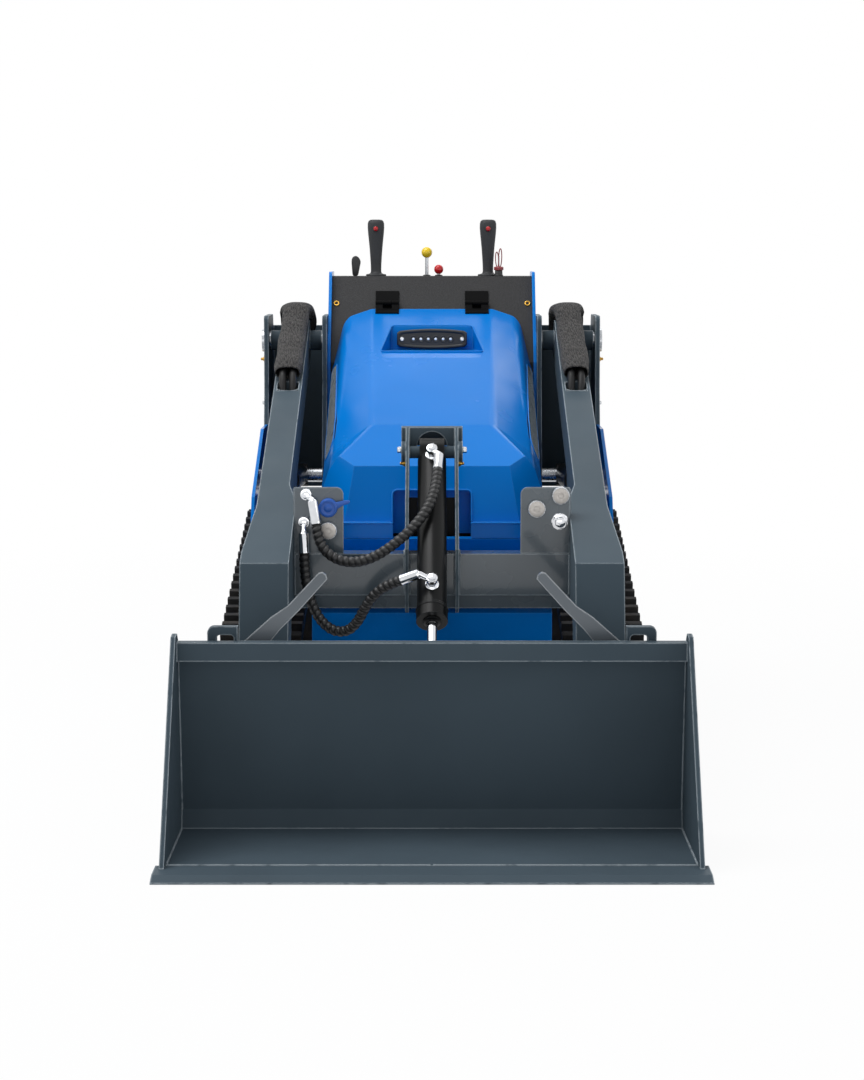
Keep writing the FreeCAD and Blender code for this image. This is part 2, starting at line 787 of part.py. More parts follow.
def hinges():
    """Two hinges between the hood's rear edge and the console panel."""
    knuckle = 7.0
    leaf = 4.0
    foot = (float(cell("panel_foot_y")), float(cell("panel_foot_height")))
    head = (float(cell("panel_head_y")), float(cell("console_height")))
    up = Vector(0, head[0] - foot[0], head[1] - foot[1]).normalize()
    away = Vector(0, -up.z, up.y)
    axis = hinge_axis()
    down = Vector(0, -1, hood_line(axis.y - 1) - hood_line(axis.y)).normalize()
    over = Vector(0, -down.z, down.y) * -1
    mounts = []
    leaves = []
    for middle in (-118, 118):
        on_panel = panel_foot_point(axis, foot, up, away)
        sheet_up = [on_panel + up * 8, on_panel + up * 40, on_panel + up * 40 + away * leaf,
                    on_panel + up * 8 + away * leaf]
        fixed_leaf = swept(sheet_up, middle - 31, 62)
        fixed_arm = swept([on_panel + up * 10, on_panel + up * 10 + away * leaf, axis + up * 2 + away * 3,
                           on_panel + up * 2], middle - 11, 22)
        barrel = Part.makeCylinder(knuckle, 22, axis + Vector(middle - 11, 0, 0), Vector(1, 0, 0))
        hole = Part.makeCylinder(3.3, 24, axis + Vector(middle - 12, 0, 0), Vector(1, 0, 0))
        mounts.append(fixed_leaf.fuse([fixed_arm, barrel]).cut(hole))
        on_hood = Vector(0, axis.y, hood_line(axis.y)) + down * 12
        base = [on_hood, on_hood + down * 26, on_hood + down * 26 + over * leaf, on_hood + over * leaf]
        pin = Part.makeCylinder(3, 62, axis + Vector(middle - 31, 0, 0), Vector(1, 0, 0))
        moving = [swept(base, middle - 31, 62), pin]
        for start in (middle - 31, middle + 12):
            moving.append(Part.makeCylinder(knuckle, 19, axis + Vector(start, 0, 0), Vector(1, 0, 0)))
            moving.append(swept([on_hood, on_hood + down * 4, axis + over * 4, axis - over * 4], start, 19))
        leaves.append(moving[0].fuse(moving[1:]))
    node(feature("hood_hinge_mounts", Part.makeCompound(mounts)))
    node(feature("hood_hinge_leaves", Part.makeCompound(leaves)))


def hinge_axis():
    """The hood's hinge line, just in front of the console panel."""
    foot = (float(cell("panel_foot_y")), float(cell("panel_foot_height")))
    head = (float(cell("panel_head_y")), float(cell("console_height")))
    up = Vector(0, head[0] - foot[0], head[1] - foot[1]).normalize()
    away = Vector(0, -up.z, up.y)
    along = 175.0
    return Vector(0, foot[0], foot[1]) + up * along + away * 8.5


def panel_foot_point(axis, foot, up, away):
    """The point of the console panel's face nearest the hinge line."""
    return axis - away * (axis - Vector(0, foot[0], foot[1])).dot(away)


def swept(corners, start, width):
    """An outline in the YZ plane, given in order, extruded across X."""
    shifted = [Vector(start, corner.y, corner.z) for corner in corners]
    return Part.Face(Part.makePolygon(shifted + shifted[:1])).extrude(Vector(width, 0, 0))


# --------------------------------------------------------------------------------------
# Operator's station
# --------------------------------------------------------------------------------------

def controls():
    high = cell("console_height")
    stand = cell("console_rear_y") - 62
    grips = []
    for side in (-1, 1):
        base = Vector(side * 150, float(stand), float(high))
        grips.append(grip_shape(base))
    node(feature("drive_grips", Part.makeCompound(grips)))

    yellow = fuse("yellow_lever_whole", [
        rod("yellow_stem", "Z", (-14, stand, high), 4.5, 52),
        ball("yellow_ball", (-14, stand, high + 63), 14.5),
    ])
    red = fuse("red_lever_whole", [
        rod("red_stem", "Z", (18, stand, high), 4, 10),
        ball("red_ball", (18, stand, high + 18), 12.5),
    ])
    node(together("ball_levers", [yellow, red]))

    throttle = plate("throttle_lever", "Y", stand - 4, 8, [
        (-212, high), (-194, high), (-192, high + 40), (-197, high + 54), (-209, high + 54), (-214, high + 40),
    ])
    node(throttle)
    switch = fuse("key_switch_whole", [
        rod("switch_base", "Z", (178, stand - 34, high), 12, 14),
        rod("switch_cap", "Z", (178, stand - 34, high + 14), 9, 12),
        box("switch_key", (175, stand - 43, high + 26), (181, stand - 25, high + 74)),
    ])
    node(switch, "key_switch")

    pad_y = cell("console_rear_y")
    cushion = plate("thigh_pad", "Z", cell("rear_body_height") - 190, 150, [
        (-230, cell("tub_rear_y")), (230, cell("tub_rear_y")), (230, pad_y), (-230, pad_y),
    ], rounded=(2, 3), radius=30)
    node(cushion)
    bar = feature("grab_bar", bar_shape())
    node(bar)


def ball(label, centre, radius):
    item = document.addObject("Part::Sphere", label)
    bind(item, "Radius", radius)
    place(item, *centre)
    return item


def grip_shape(base):
    """A drive lever's grip: a waisted hand grip on a round flange."""
    steps = ((0, 27), (6, 27), (10, 14), (40, 15.5), (95, 20), (130, 22), (146, 17), (150, 0))
    points = [base + Vector(0, 0, 0)] + [base + Vector(radius, 0, rise) for rise, radius in steps]
    return Part.Face(Part.makePolygon(points + points[:1])).revolve(base, Vector(0, 0, 1), 360)


def bar_shape():
    """The operator's handrail behind the console, a bent tube whose ends meet the leaning rear sheet."""
    high = float(cell("console_height"))
    back = float(cell("console_rear_y"))
    low_y = float(cell("tub_rear_y")) + float(cell("sheet_thick")) * 1.2
    lean = (back - low_y) / (high - float(cell("rear_body_height")))
    drop = 70
    half = float(chassis_half) - 30
    reach = 70
    end_y = back - drop * lean - 3
    points = [Vector(-half, end_y, high - drop), Vector(-half, back + reach, high - drop + 10),
              Vector(half, back + reach, high - drop + 10), Vector(half, end_y, high - drop)]
    path, radii = tangent_path(points, 0.42)
    document.recompute()
    pieces = tube_on(path, 13).cut(document.getObject("console_panel").Shape).Solids
    return max(pieces, key=lambda piece: piece.Volume)


# --------------------------------------------------------------------------------------
# Towers and fenders
# --------------------------------------------------------------------------------------

def towers():
    thick = cell("tower_plate")
    front = cell("tower_front_y")
    back = cell("tower_rear_y")
    top = cell("tower_top")
    pins = [(lift_pin[0], lift_pin[1], cell("lift_pin_radius")), (lift_base[0], lift_base[1], 18)]
    wide_low = top - 186
    nose = lift_base[0] - 34
    rear = back + 26
    sole = lift_base[1] - 34
    root = sole - 166
    outline = [
        (front, wide_low), (front + 6, top), (back, top), (rear, top - 60), (rear, sole),
        (nose, sole), (nose, lift_base[1] + 46),
    ]
    inner = plate("tower_inner", "X", tower_inner, thick, outline, rounded=(1, 2), radius=14, holes=pins)
    outer = plate("tower_outer", "X", tower_outer, thick, outline, rounded=(1, 2), radius=14, holes=pins)
    closing = box("tower_back", (tower_inner + thick, rear - thick, sole), (tower_outer, rear, top - 30))
    foot = box("tower_foot", (tower_inner + thick, lift_base[0] + 46, sole), (tower_outer, rear, sole + thick))
    web = box("tower_root", (chassis_half, back - 110, root), (tower_inner, rear, sole))
    base = box("tower_base", (tower_inner, back - 110, root), (tower_inner + thick, rear, sole))
    pair("towers", fuse("tower_right", [inner, outer, closing, foot, web, base]))

    reach = tower_outer + thick - tower_inner
    pin = fuse("lift_pin_whole", [
        rod("lift_pin_bar", "X", (tower_inner, lift_pin[0], lift_pin[1]), cell("lift_pin_radius"), reach + 3),
        rod("lift_pin_head", "X", (tower_outer + thick, lift_pin[0], lift_pin[1]), 30, 8),
    ])
    base_pin = rod("base_pin", "X", (tower_inner, lift_base[0], lift_base[1]), 18, reach + 5)
    pair("tower_pins", together("tower_pins_right", [pin, base_pin]))

    track_top = cell("sprocket_height") + cell("sprocket_wheel") + cell("belt_thick") + cell("lug_height")
    deck_rear = (nose - 2, track_top + 25)
    deck_front = (lift_eye[0] + 30, deck_rear[1] - 90)
    side = plate("fender_side", "X", tower_outer, 8, [
        deck_front, deck_rear, (deck_rear[0], deck_rear[1] + 186), (deck_rear[0] - 154, deck_rear[1] + 186),
        (deck_front[0] + 42, deck_front[1] + 138), (deck_front[0] + 8, deck_front[1] + 82),
    ])
    deck = plate("fender_deck", "X", chassis_half, tower_outer - chassis_half, [
        deck_front, deck_rear, (deck_rear[0], deck_rear[1] + 6), (deck_front[0], deck_front[1] + 6),
    ])
    pair("fenders", fuse("fender_right", [side, deck]))


# --------------------------------------------------------------------------------------
# Lift arms
# --------------------------------------------------------------------------------------

def arm_outline():
    """The side view of one lift arm, from the hub over the elbow to the bucket pin."""
    elbow = (cell("elbow_y"), cell("elbow_height"))
    hub = cell("arm_hub")
    tip = cell("leg_hub")
    return [
        (lift_pin[0], lift_pin[1] + hub), elbow, (bucket_pin[0] - tip, bucket_pin[1] + 8),
        (bucket_pin[0] + tip, bucket_pin[1] - 6), (elbow[0] + 85, elbow[1] - 118),
        (elbow[0] + 255, elbow[1] - 103), (lift_eye[0] - 200, lift_eye[1] - 70), (lift_pin[0], lift_pin[1] - hub),
    ]


def arms():
    profile = plate("arm_side_view", "X", leg_in, leg_out - leg_in, arm_outline())
    reach = lift_pin[0] + 90
    plan = plate("arm_top_view", "Z", 60, 1000, [
        (leg_in, -900), (leg_out, -900), (leg_out, cell("elbow_y") + 50), (arm_out, cell("elbow_y") + 260),
        (arm_out, reach), (arm_in, reach), (arm_in, cell("elbow_y") + 360), (leg_in, cell("elbow_y") + 280),
    ])
    body = common("arm_body", profile, plan)
    hub = rod("arm_hub_boss", "X", (arm_in, lift_pin[0], lift_pin[1]), cell("arm_hub"), arm_out - arm_in)
    spacer = rod("arm_spacer", "X", (tower_inner + cell("tower_plate") + 3, lift_pin[0], lift_pin[1]),
                 cell("lift_pin_radius") + 4, cell("tower_gap") - 6)
    tip = rod("arm_tip_boss", "X", (leg_in, bucket_pin[0], bucket_pin[1]), cell("leg_hub"), leg_out - leg_in)
    lug = plate("lift_eye_lug", "X", arm_mid - 34, 68, [
        (lift_eye[0] - 60, lift_eye[1] + 90), (lift_eye[0] - 26, lift_eye[1] - 16),
        (lift_eye[0] + 26, lift_eye[1] - 16), (lift_eye[0] + 70, lift_eye[1] + 120),
    ])
    clear = cell("pin_clearance")
    slot = box("lift_eye_slot", (arm_mid - 24, lift_eye[0] - 80, lift_eye[1] - 60),
               (arm_mid + 24, lift_eye[0] + 104, lift_eye[1] + 52))
    bores = [
        rod("lift_bore", "X", (200, lift_pin[0], lift_pin[1]), cell("lift_pin_radius") + clear, 300),
        rod("bucket_bore", "X", (200, bucket_pin[0], bucket_pin[1]), cell("bucket_pin_radius") + clear, 300),
        slot,
        sleeve_hole(),
    ]
    solid = fuse("arm_solid", [body, hub, spacer, tip, lug])
    both_sides("lift_arm", cut("lift_arm_whole", solid, bores))

    front = cell("tube_front_y")
    bottom = cell("tube_bottom")
    tube = box("cross_bar", (-leg_in, front, bottom),
               (leg_in, front + cell("tube_depth"), bottom + cell("tube_height")))
    flange = box("cross_flange", (-leg_in, front + 10, bottom - 30), (leg_in, front + 18, bottom))
    node(fuse("cross_tube", [tube, flange]))

    gap = cell("bracket_gap")
    thick = cell("bracket_plate")
    high = tilt_base[1] + 54
    cheek = plate("bracket_cheek", "X", gap, thick, [
        (front, bottom - 38), (front - 36, bottom - 24), (front - 36, bottom + cell("tube_height") + 14),
        (tilt_base[0] - 44, tilt_base[1] - 14), (tilt_base[0] + 24, high), (tilt_base[0] + 65, high),
        (tilt_base[0] + 65, tilt_base[1] - 7), (front + cell("tube_depth"), bottom + cell("tube_height")),
        (front, bottom + cell("tube_height")),
    ])
    cheeks = [cheek, mirrored("bracket_cheek_left", cheek)]
    roof = box("bracket_roof", (-gap - thick - 10, tilt_base[0] + 24, high - 44),
               (gap + thick + 10, tilt_base[0] + 65, high))
    scallop = rod("bracket_scallop", "Y", (0, tilt_base[0] - 20, high - 44), 34, 75)
    top = cut("bracket_top", roof, [scallop])
    bosses = []
    for side, start in (("right", gap + thick), ("left", -gap - thick - 10)):
        bosses.append(rod("bracket_boss_" + side, "X", (start, tilt_base[0], tilt_base[1]), 24, 10))
    pin = rod("tilt_pin", "X", (-gap, tilt_base[0], tilt_base[1]), 14, gap * 2)
    node(fuse("tilt_bracket", cheeks + [top, pin] + bosses))

    stand = bottom + cell("tube_height")
    right = plate("coupler_plate_blank", "Y", front + 4, 8, [
        (leg_in, stand), (leg_in, stand + 146), (leg_in - 108, stand + 146), (leg_in - 108, stand),
    ], rounded=(2,), radius=15)
    pair("coupler_plates", right)
    face = front + 4
    right_set = [
        rod("coupler_disc_low", "Y", (229, face - 22, 642), 19.5, 22),
        rod("coupler_disc_high", "Y", (281, face - 22, 671), 19.5, 22),
        rod("coupler_nut_right", "Y", (280, face - 26, 613), 17, 26),
        rod("coupler_disc_left", "Y", (-227, face - 22, 594), 19.5, 22),
        rod("coupler_cap_left", "Y", (-227, face - 24, 644), 20.5, 24),
    ]
    return right_set


def sleeve_hole():
    """The hole in the arm's top where the sleeved hoses go in."""
    return box("sleeve_hole", (arm_mid - 26, 200, 820), (arm_mid + 26, 252, 1000))


def arm_top(y):
    """The height of the arm's top face at a station."""
    rise = (lift_pin[1] + cell("arm_hub") - cell("elbow_height")) / (lift_pin[0] - cell("elbow_y"))
    return float(lift_pin[1] + cell("arm_hub")) - float(rise) * (float(lift_pin[0]) - y)


def sleeves():
    """The textile sleeve of the arm's hoses, from behind the hub over it and down to the arm's hole."""
    mid = float(arm_mid)
    pin_y = float(lift_pin[0])
    pin_z = float(lift_pin[1])
    half_wide = 33.0
    half_thick = 21.0
    stand = half_thick * 1.065 + 0.3
    end = 272.0
    points = [
        Vector(mid - 1, pin_y + 84, pin_z - 5), Vector(mid - 3, pin_y + 78, pin_z + 44),
        Vector(mid - 4, pin_y + 44, pin_z + 76), Vector(mid - 4, pin_y - 8, pin_z + 83),
        Vector(mid - 2, pin_y - 114, arm_top(pin_y - 114) + stand), Vector(mid - 1, end, arm_top(end) + stand),
    ]
    path, _ = tangent_path(points, 0.42)
    sleeve = tube_on(path, half_wide, half_thick)
    hoses_in = []
    for side in (-13, 12):
        route = [Vector(mid + side, end + 4, arm_top(end) + stand),
                 Vector(mid + side, end - 26, arm_top(end) + stand - 12),
                 Vector(mid + side, end - 48, arm_top(end) - 24)]
        hose_path, _ = tangent_path(route, 0.42)
        hoses_in.append(tube_on(hose_path, float(cell("hose_radius"))))
    pair("hose_sleeves", feature("hose_sleeve_right", sleeve.fuse(hoses_in)))


# --------------------------------------------------------------------------------------
# Cylinders
# --------------------------------------------------------------------------------------

def toward(begin, end):
    """The unit direction from one (y, z) place to another, and their distance."""
    step = Vector(0, float(end[0]) - float(begin[0]), float(end[1]) - float(begin[1]))
    length = step.Length
    return step / length, length


def barrel_shape(x, begin, end, radius, length, eye_half, eye_radius, bore):
    """A cylinder's barrel: base eye, tube, gland and ports, along the line between two pins."""
    along, _ = toward(begin, end)
    base = Vector(x, float(begin[0]), float(begin[1]))
    eye = Part.makeCylinder(eye_radius, 2 * eye_half, base - Vector(eye_half, 0, 0), Vector(1, 0, 0))
    tube = Part.makeCylinder(radius, length - eye_radius + 6, base + along * (eye_radius - 6), along)
    gland = Part.makeCylinder(radius + 2, 34, base + along * (length - 34), along)
    whole = eye.fuse([tube, gland])
    hole = Part.makeCylinder(bore, 2 * eye_half + 2, base - Vector(eye_half + 1, 0, 0), Vector(1, 0, 0))
    return whole.cut(hole).removeSplitter()


def rod_shape(x, begin, end, radius, inside, eye_half, eye_radius):
    """A cylinder's rod, from inside the barrel to the eye at the far pin."""
    along, length = toward(begin, end)
    base = Vector(x, float(begin[0]), float(begin[1]))
    tip = base + along * length
    shaft = Part.makeCylinder(radius, length - inside - eye_radius + 4, base + along * inside, along)
    eye = Part.makeCylinder(eye_radius, 2 * eye_half, tip - Vector(eye_half, 0, 0), Vector(1, 0, 0))
    return shaft.fuse(eye).removeSplitter()


def hollowed(barrel, x, begin, end, radius, inside, length):
    """The barrel with the bore that its rod slides in."""
    along, _ = toward(begin, end)
    base = Vector(x, float(begin[0]), float(begin[1]))
    bore = Part.makeCylinder(radius, length - inside + 10, base + along * inside, along)
    return barrel.cut(bore)


PORT_STATIONS = (34.0, 400.0)


def cylinders():
    clear = float(cell("pin_clearance"))
    mid = float(arm_mid)
    length = 480.0
    inside = 30.0
    bore = float(cell("lift_bore"))
    thin = float(cell("lift_rod"))
    barrel = barrel_shape(mid, lift_base, lift_eye, bore, length, 30, 30, 18 + clear)
    barrel = hollowed(barrel, mid, lift_base, lift_eye, thin + clear, inside, length)
    both_sides("lift_barrel", feature("lift_barrel_whole", barrel))
    shaft = rod_shape(mid, lift_base, lift_eye, thin, inside + 6, 18, 25)
    both_sides("lift_rod", feature("lift_rod_whole", shaft))

    length = 476.0
    inside = 34.0
    bore = float(cell("tilt_bore"))
    thin = float(cell("tilt_rod"))
    barrel = barrel_shape(0.0, tilt_base, tilt_eye, bore, length, 28, 32, 14 + clear)
    barrel = hollowed(barrel, 0.0, tilt_base, tilt_eye, thin + clear, inside, length)
    node(feature("tilt_barrel", barrel))
    node(feature("tilt_rod_bar", rod_shape(0.0, tilt_base, tilt_eye, thin, inside + 60, 18, 22)))


# --------------------------------------------------------------------------------------
# Hitch plate and bucket
# --------------------------------------------------------------------------------------

def back_line(z):
    """The station of the bucket's rear face at a height: the face leans back at its foot."""
    return -784 - (z - 51) * 0.1007


def hitch():
    thick = cell("hitch_thick")
    low = cell("hitch_bottom")
    high = cell("hitch_top")
    half = cell("hitch_half")
    profile = plate("hitch_section", "X", -half, half * 2, [
        (back_line(low), low), (back_line(low) + thick, low), (back_line(high) + thick, high),
        (back_line(high), high),
    ])
    tall = cell("tab_top")
    inner = cell("tab_inner")
    outer = cell("tab_outer")
    slab = plate("hitch_tab_slab", "X", inner, outer - inner, [
        (back_line(300), 300), (back_line(300) + thick, 300), (back_line(tall) + thick, tall),
        (back_line(tall), tall),
    ])
    outline = plate("hitch_tab_outline", "Y", -900, 200, [
        (inner, 290), (outer, 290), (outer, tall), (inner, tall),
    ], rounded=(2,), radius=14)
    tab = common("hitch_tab", slab, outline)
    slot = plate("hitch_tab_slot", "Y", -900, 200, [
        (inner + 8, tall - 44), (outer - 19, tall - 44), (outer - 19, tall - 18), (inner + 8, tall - 18),
    ], rounded=(0, 1, 2, 3), radius=8)
    outer_trim = []
    for side, x in (("right", leg_in - 14), ("left", -leg_out - 6)):
        outer_trim.append(box("hitch_relief_" + side, (x, -900, high - 60),
                              (x + (leg_out - leg_in) + 20, -700, high + 5)))
    ears = []
    for number, x in enumerate((leg_in - 14, leg_out + 4)):
        ears.append(plate(f"hitch_ear_{number}", "X", x, 10, [
            (back_line(bucket_pin[1].value - 40) + 8, bucket_pin[1] - 40),
            (bucket_pin[0] + 22, bucket_pin[1] - 24), (bucket_pin[0] + 22, bucket_pin[1] + 24),
            (back_line(bucket_pin[1].value + 80) + 8, bucket_pin[1] + 80),
        ]))
    pin = rod("hitch_pin", "X", (leg_in - 14, bucket_pin[0], bucket_pin[1]), cell("bucket_pin_radius"),
              leg_out - leg_in + 32)
    side = fuse("hitch_ears_right", ears + [pin, tab])
    clevis = []
    for number, x in enumerate((24, -36)):
        clevis.append(plate(f"tilt_ear_{number}", "X", x, 12, [
            (back_line(tilt_eye[1].value - 45) + 8, tilt_eye[1] - 45), (tilt_eye[0] + 22, tilt_eye[1] - 18),
            (tilt_eye[0] + 22, tilt_eye[1] + 18), (back_line(tilt_eye[1].value + 45) + 8, tilt_eye[1] + 45),
        ]))
    heads = [rod(f"tilt_pin_head_{number}", "X", (x, tilt_eye[0], tilt_eye[1]), 16, 8)
             for number, x in enumerate((36, -44))]
    blank = cut("hitch_blank", profile, outer_trim)
    whole = fuse("hitch_whole", [blank, side, mirrored("hitch_ears_left", side)] + clevis + heads)
    node(cut("hitch_plate", whole, [slot, mirrored("hitch_tab_slot_left", slot)]))

    levers = [lever_solid(sign) for sign in (1, -1)]
    node(feature("lock_levers", Part.makeCompound(levers)))


def lever_solid(sign):
    """A flat lock lever that lies on the hitch plate's rear face and rises past the arm's leg."""
    points = [(214, 536), (216, 545), (224, 551), (232, 549), (296, 480), (331, 456), (386, 406), (386, 300),
              (336, 300), (333, 404), (312, 430), (271, 472)]
    thick = 8
    rear = float(cell("hitch_thick"))
    outline = [Vector(sign * x, back_line(z) + rear, z) for x, z in points]
    return Part.Face(Part.makePolygon(outline + outline[:1])).extrude(Vector(0, thick, 0))


def bucket():
    edge_thick = cell("edge_thick")
    half = cell("bucket_half")
    skin = cell("bucket_sheet")
    side_thick = cell("bucket_side")
    depth = cell("edge_depth")
    node(plate("cutting_edge", "X", -cell("edge_half"), cell("edge_half") * 2, [
        (front_y, 0), (front_y + depth, 0), (front_y + depth, edge_thick), (front_y + 28, edge_thick),
        (front_y, 3),
    ]))
    floor_front = front_y + depth
    back_foot = cell("bucket_back_foot")
    back_top = cell("bucket_back_top")
    heel = back_line(back_foot) - 16
    lip_top = back_top + 38
    lip_front = back_line(lip_top) - cell("bucket_lip_depth")
    sheet_profile = plate("bucket_sheets", "X", -half, half * 2, [
        (floor_front, 0), (heel + 4, 0), (back_line(back_foot), back_foot), (back_line(lip_top), lip_top),
        (lip_front, lip_top), (lip_front - 5, back_top), (back_line(back_top) - skin - 2, back_top),
        (back_line(back_foot) - skin, back_foot), (heel - 2, edge_thick), (floor_front, edge_thick),
    ])
    cheek = plate("bucket_cheek", "X", half - side_thick, side_thick, [
        (front_y + 68, edge_thick), (lip_front - 20, lip_top + 15), (lip_front + 12, lip_top + 18),
        (back_line(lip_top), lip_top + 2),
        (back_line(back_foot), back_foot), (heel + 4, edge_thick),
    ], rounded=(1, 2), radius=6)
    node(fuse("bucket_shell", [sheet_profile, cheek, mirrored("bucket_cheek_left", cheek)]))


# --------------------------------------------------------------------------------------
# Operator's folding platform
# --------------------------------------------------------------------------------------

def platform():
    hinge = (cell("platform_hinge_y"), cell("platform_hinge_height"))
    half = cell("platform_half")
    thick = cell("platform_thick")
    tread = box("platform_tread", (-half, hinge[0] + 30, hinge[1] - thick / 2),
                (half, rear_y, hinge[1] + thick / 2))
    well = box("platform_well", (-half + 20, hinge[0] + 50, hinge[1] - thick / 2 - 1),
               (half - 20, rear_y - 20, hinge[1] + thick / 2 - 8))
    arms_at = []
    for number, x in enumerate((-half + 20, half - 50)):
        arms_at.append(box(f"platform_arm_{number}", (x, hinge[0] - 2, hinge[1] - 12),
                           (x + 30, hinge[0] + 32, hinge[1] + 12)))
        arms_at.append(rod(f"platform_eye_{number}", "X", (x, hinge[0], hinge[1]), 14, 30))
    pin_hole = rod("platform_bore", "X", (-half, hinge[0], hinge[1]), 8 + cell("pin_clearance"), half * 2)
    pan = cut("platform_pan", tread, [well])
    node(cut("platform_step", fuse("platform_blank", [pan] + arms_at), [pin_hole]))
    lugs = []
    for number, x in enumerate((-half + 4, half - 66)):
        for step in (0, 50):
            lugs.append(plate(f"platform_lug_{number}_{step}", "X", x + step, 12, [
                (cell("tub_rear_y"), hinge[1] - 30), (hinge[0] + 16, hinge[1] - 16), (hinge[0] + 16, hinge[1] + 16),
                (cell("tub_rear_y"), hinge[1] + 30),
            ]))
    pins = [rod(f"platform_pin_{number}", "X", (x, hinge[0], hinge[1]), 8, 62)
            for number, x in enumerate((-half + 4, half - 66))]
    node(together("platform_lugs", [fuse("platform_lugs_left", lugs[:2] + pins[:1]),
                                    fuse("platform_lugs_right", lugs[2:] + pins[1:])]))


# --------------------------------------------------------------------------------------
# Hoses
# --------------------------------------------------------------------------------------

def tangent_path(points, share=0.45):
    """Straight runs joined by tangent arcs, each as large as its two runs allow."""
    edges = []
    radii = []
    last = points[0]
    for index in range(1, len(points) - 1):
        corner = points[index]
        back = points[index - 1] - corner
        ahead = points[index + 1] - corner
        reach = share * min(back.Length, ahead.Length)
        turn = math.pi - back.getAngle(ahead)
        radius = reach / math.tan(turn / 2)
        radii.append(radius)
        begin = corner + back.normalize() * reach
        end = corner + ahead.normalize() * reach
        bisector = (back + ahead).normalize()
        middle = corner + bisector * (radius / math.cos(turn / 2) - radius)
        edges.append(Part.LineSegment(last, begin).toShape())
        edges.append(Part.Arc(begin, middle, end).toShape())
        last = end
    edges.append(Part.LineSegment(last, points[-1]).toShape())
    return Part.Wire(edges), radii


def tube_on(path, radius, flat_radius=None):
    """A solid round tube along a wire, or an oval one that is radius wide across X."""
    begin = path.OrderedEdges[0]
    start = begin.valueAt(begin.FirstParameter)
    heading = begin.tangentAt(begin.FirstParameter)
    if flat_radius is None:
        curve = Part.Circle(start, heading, radius)
    else:
        across = (Vector(1, 0, 0) - heading * heading.x).normalize()
        curve = Part.Ellipse(start + across * radius, start + heading.cross(across) * flat_radius, start)
    return path.makePipeShell([Part.Wire(curve.toShape())], True, False)


UPPER_HOSE = [
    (-252, -497, 612), (-247, -503, 580), (-231, -508, 553), (-203, -512, 535), (-166, -514, 530),
    (-127, -512, 541),
    (-88, -508, 565), (-50, -502, 596), (-19, -487, 630), (0, -460, 662), (9, -428, 694), (12, -400, 722),
]
LOWER_HOSE = [
    (-278, -492, 548), (-277, -496, 512), (-272, -501, 474), (-261, -508, 436), (-241, -518, 402),
    (-213, -530, 382), (-182, -542, 384), (-159, -553, 408), (-145, -563, 438), (-126, -574, 468),
    (-98, -586, 491), (-66, -597, 504),
]


def hose_end(route, length):
    """Where a hose's crimped end turns into its port: past the hose, in line with its first run."""
    first, second = Vector(*route[0]), Vector(*route[1])
    return first + (first - second).normalize() * length


def fitting(seat, out, route, length, gap):
    """A hose end: a stub out of its seat, an elbow and the ferrule up to a gap from the hose."""
    elbow = hose_end(route, length)
    tip = seat + out * 22
    first = Vector(*route[0])
    ferrule = float(cell("hose_radius")) + 2.5
    parts = [Part.makeCylinder(12, 22, seat, out), Part.makeSphere(10, tip), Part.makeSphere(11.5, elbow),
             Part.makeCylinder(9, (elbow - tip).Length, tip, elbow - tip),
             Part.makeCylinder(ferrule, length - gap, elbow, first - elbow)]
    return parts[0].fuse(parts[1:])


def fittings(couplers):
    face = float(cell("tube_front_y")) + 4
    ahead = Vector(0, -1, 0)
    high = fitting(Vector(-275, face, 674), ahead, UPPER_HOSE, 54, 0.0)
    low = fitting(Vector(-280, face, 613), ahead, LOWER_HOSE, 46, 0.0)
    ends = [feature("coupler_fitting_high", high), feature("coupler_fitting_low", low)]
    node(together("hydraulic_couplers", couplers + ends))
    barrel = document.getObject("tilt_barrel").Shape
    along, _ = toward(tilt_base, tilt_eye)
    out = Vector(0, along.z, -along.y)
    sunk = float(cell("tilt_bore")) - 3
    ends = []
    for station, route, length in ((PORT_STATIONS[0], UPPER_HOSE[::-1], 46),
                                   (PORT_STATIONS[1], LOWER_HOSE[::-1], 44)):
        seat = Vector(0, float(tilt_base[0]), float(tilt_base[1])) + along * station + out * sunk
        ends.append(fitting(seat, out, route, length, 0.6).cut(barrel))
    node(feature("barrel_fittings", Part.makeCompound([end.Solids[0] for end in ends])))


def hoses():
    radius = float(cell("hose_radius"))
    for name, route in (("tilt_hose_upper", UPPER_HOSE), ("tilt_hose_lower", LOWER_HOSE)):
        path, radii = tangent_path([Vector(*point) for point in route])
        tube = tube_on(path, radius)
        node(feature(name, tube))
        print(name, "length", round(path.Length), "arc radii", [round(item) for item in radii],
              "volume ratio", round(tube.Volume / (math.pi * radius ** 2 * path.Length), 4))


# --------------------------------------------------------------------------------------
# Document checks and export
# --------------------------------------------------------------------------------------

undercarriage()
chassis()
hood()
hinges()
controls()
towers()
couplers = arms()
sleeves()
cylinders()
hitch()
bucket()
platform()
fittings(couplers)
hoses()

document.recompute()
os.makedirs("parts", exist_ok=True)
for item in document.Objects:
    if "Invalid" in item.State or "Error" in item.State:
        raise RuntimeError(f"{item.Label} failed: {item.State}")
for item in NODES:
    shape = item.Shape
    if shape.isNull() or not shape.isValid():
        raise RuntimeError(f"{item.Label} has no valid shape")
for item in NODES:
    item.Shape.exportStep(f"parts/{item.Label}.step")
    box_now = item.Shape.BoundBox
    print(f"{item.Label:24s} {len(item.Shape.Solids)} solids {item.Shape.Volume / 1e6:9.3f} l  "
          f"x {box_now.XMin:.0f}..{box_now.XMax:.0f} y {box_now.YMin:.0f}..{box_now.YMax:.0f} "
          f"z {box_now.ZMin:.0f}..{box_now.ZMax:.0f}")
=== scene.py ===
import math

import bmesh
import bpy
from mathutils import Matrix, Vector


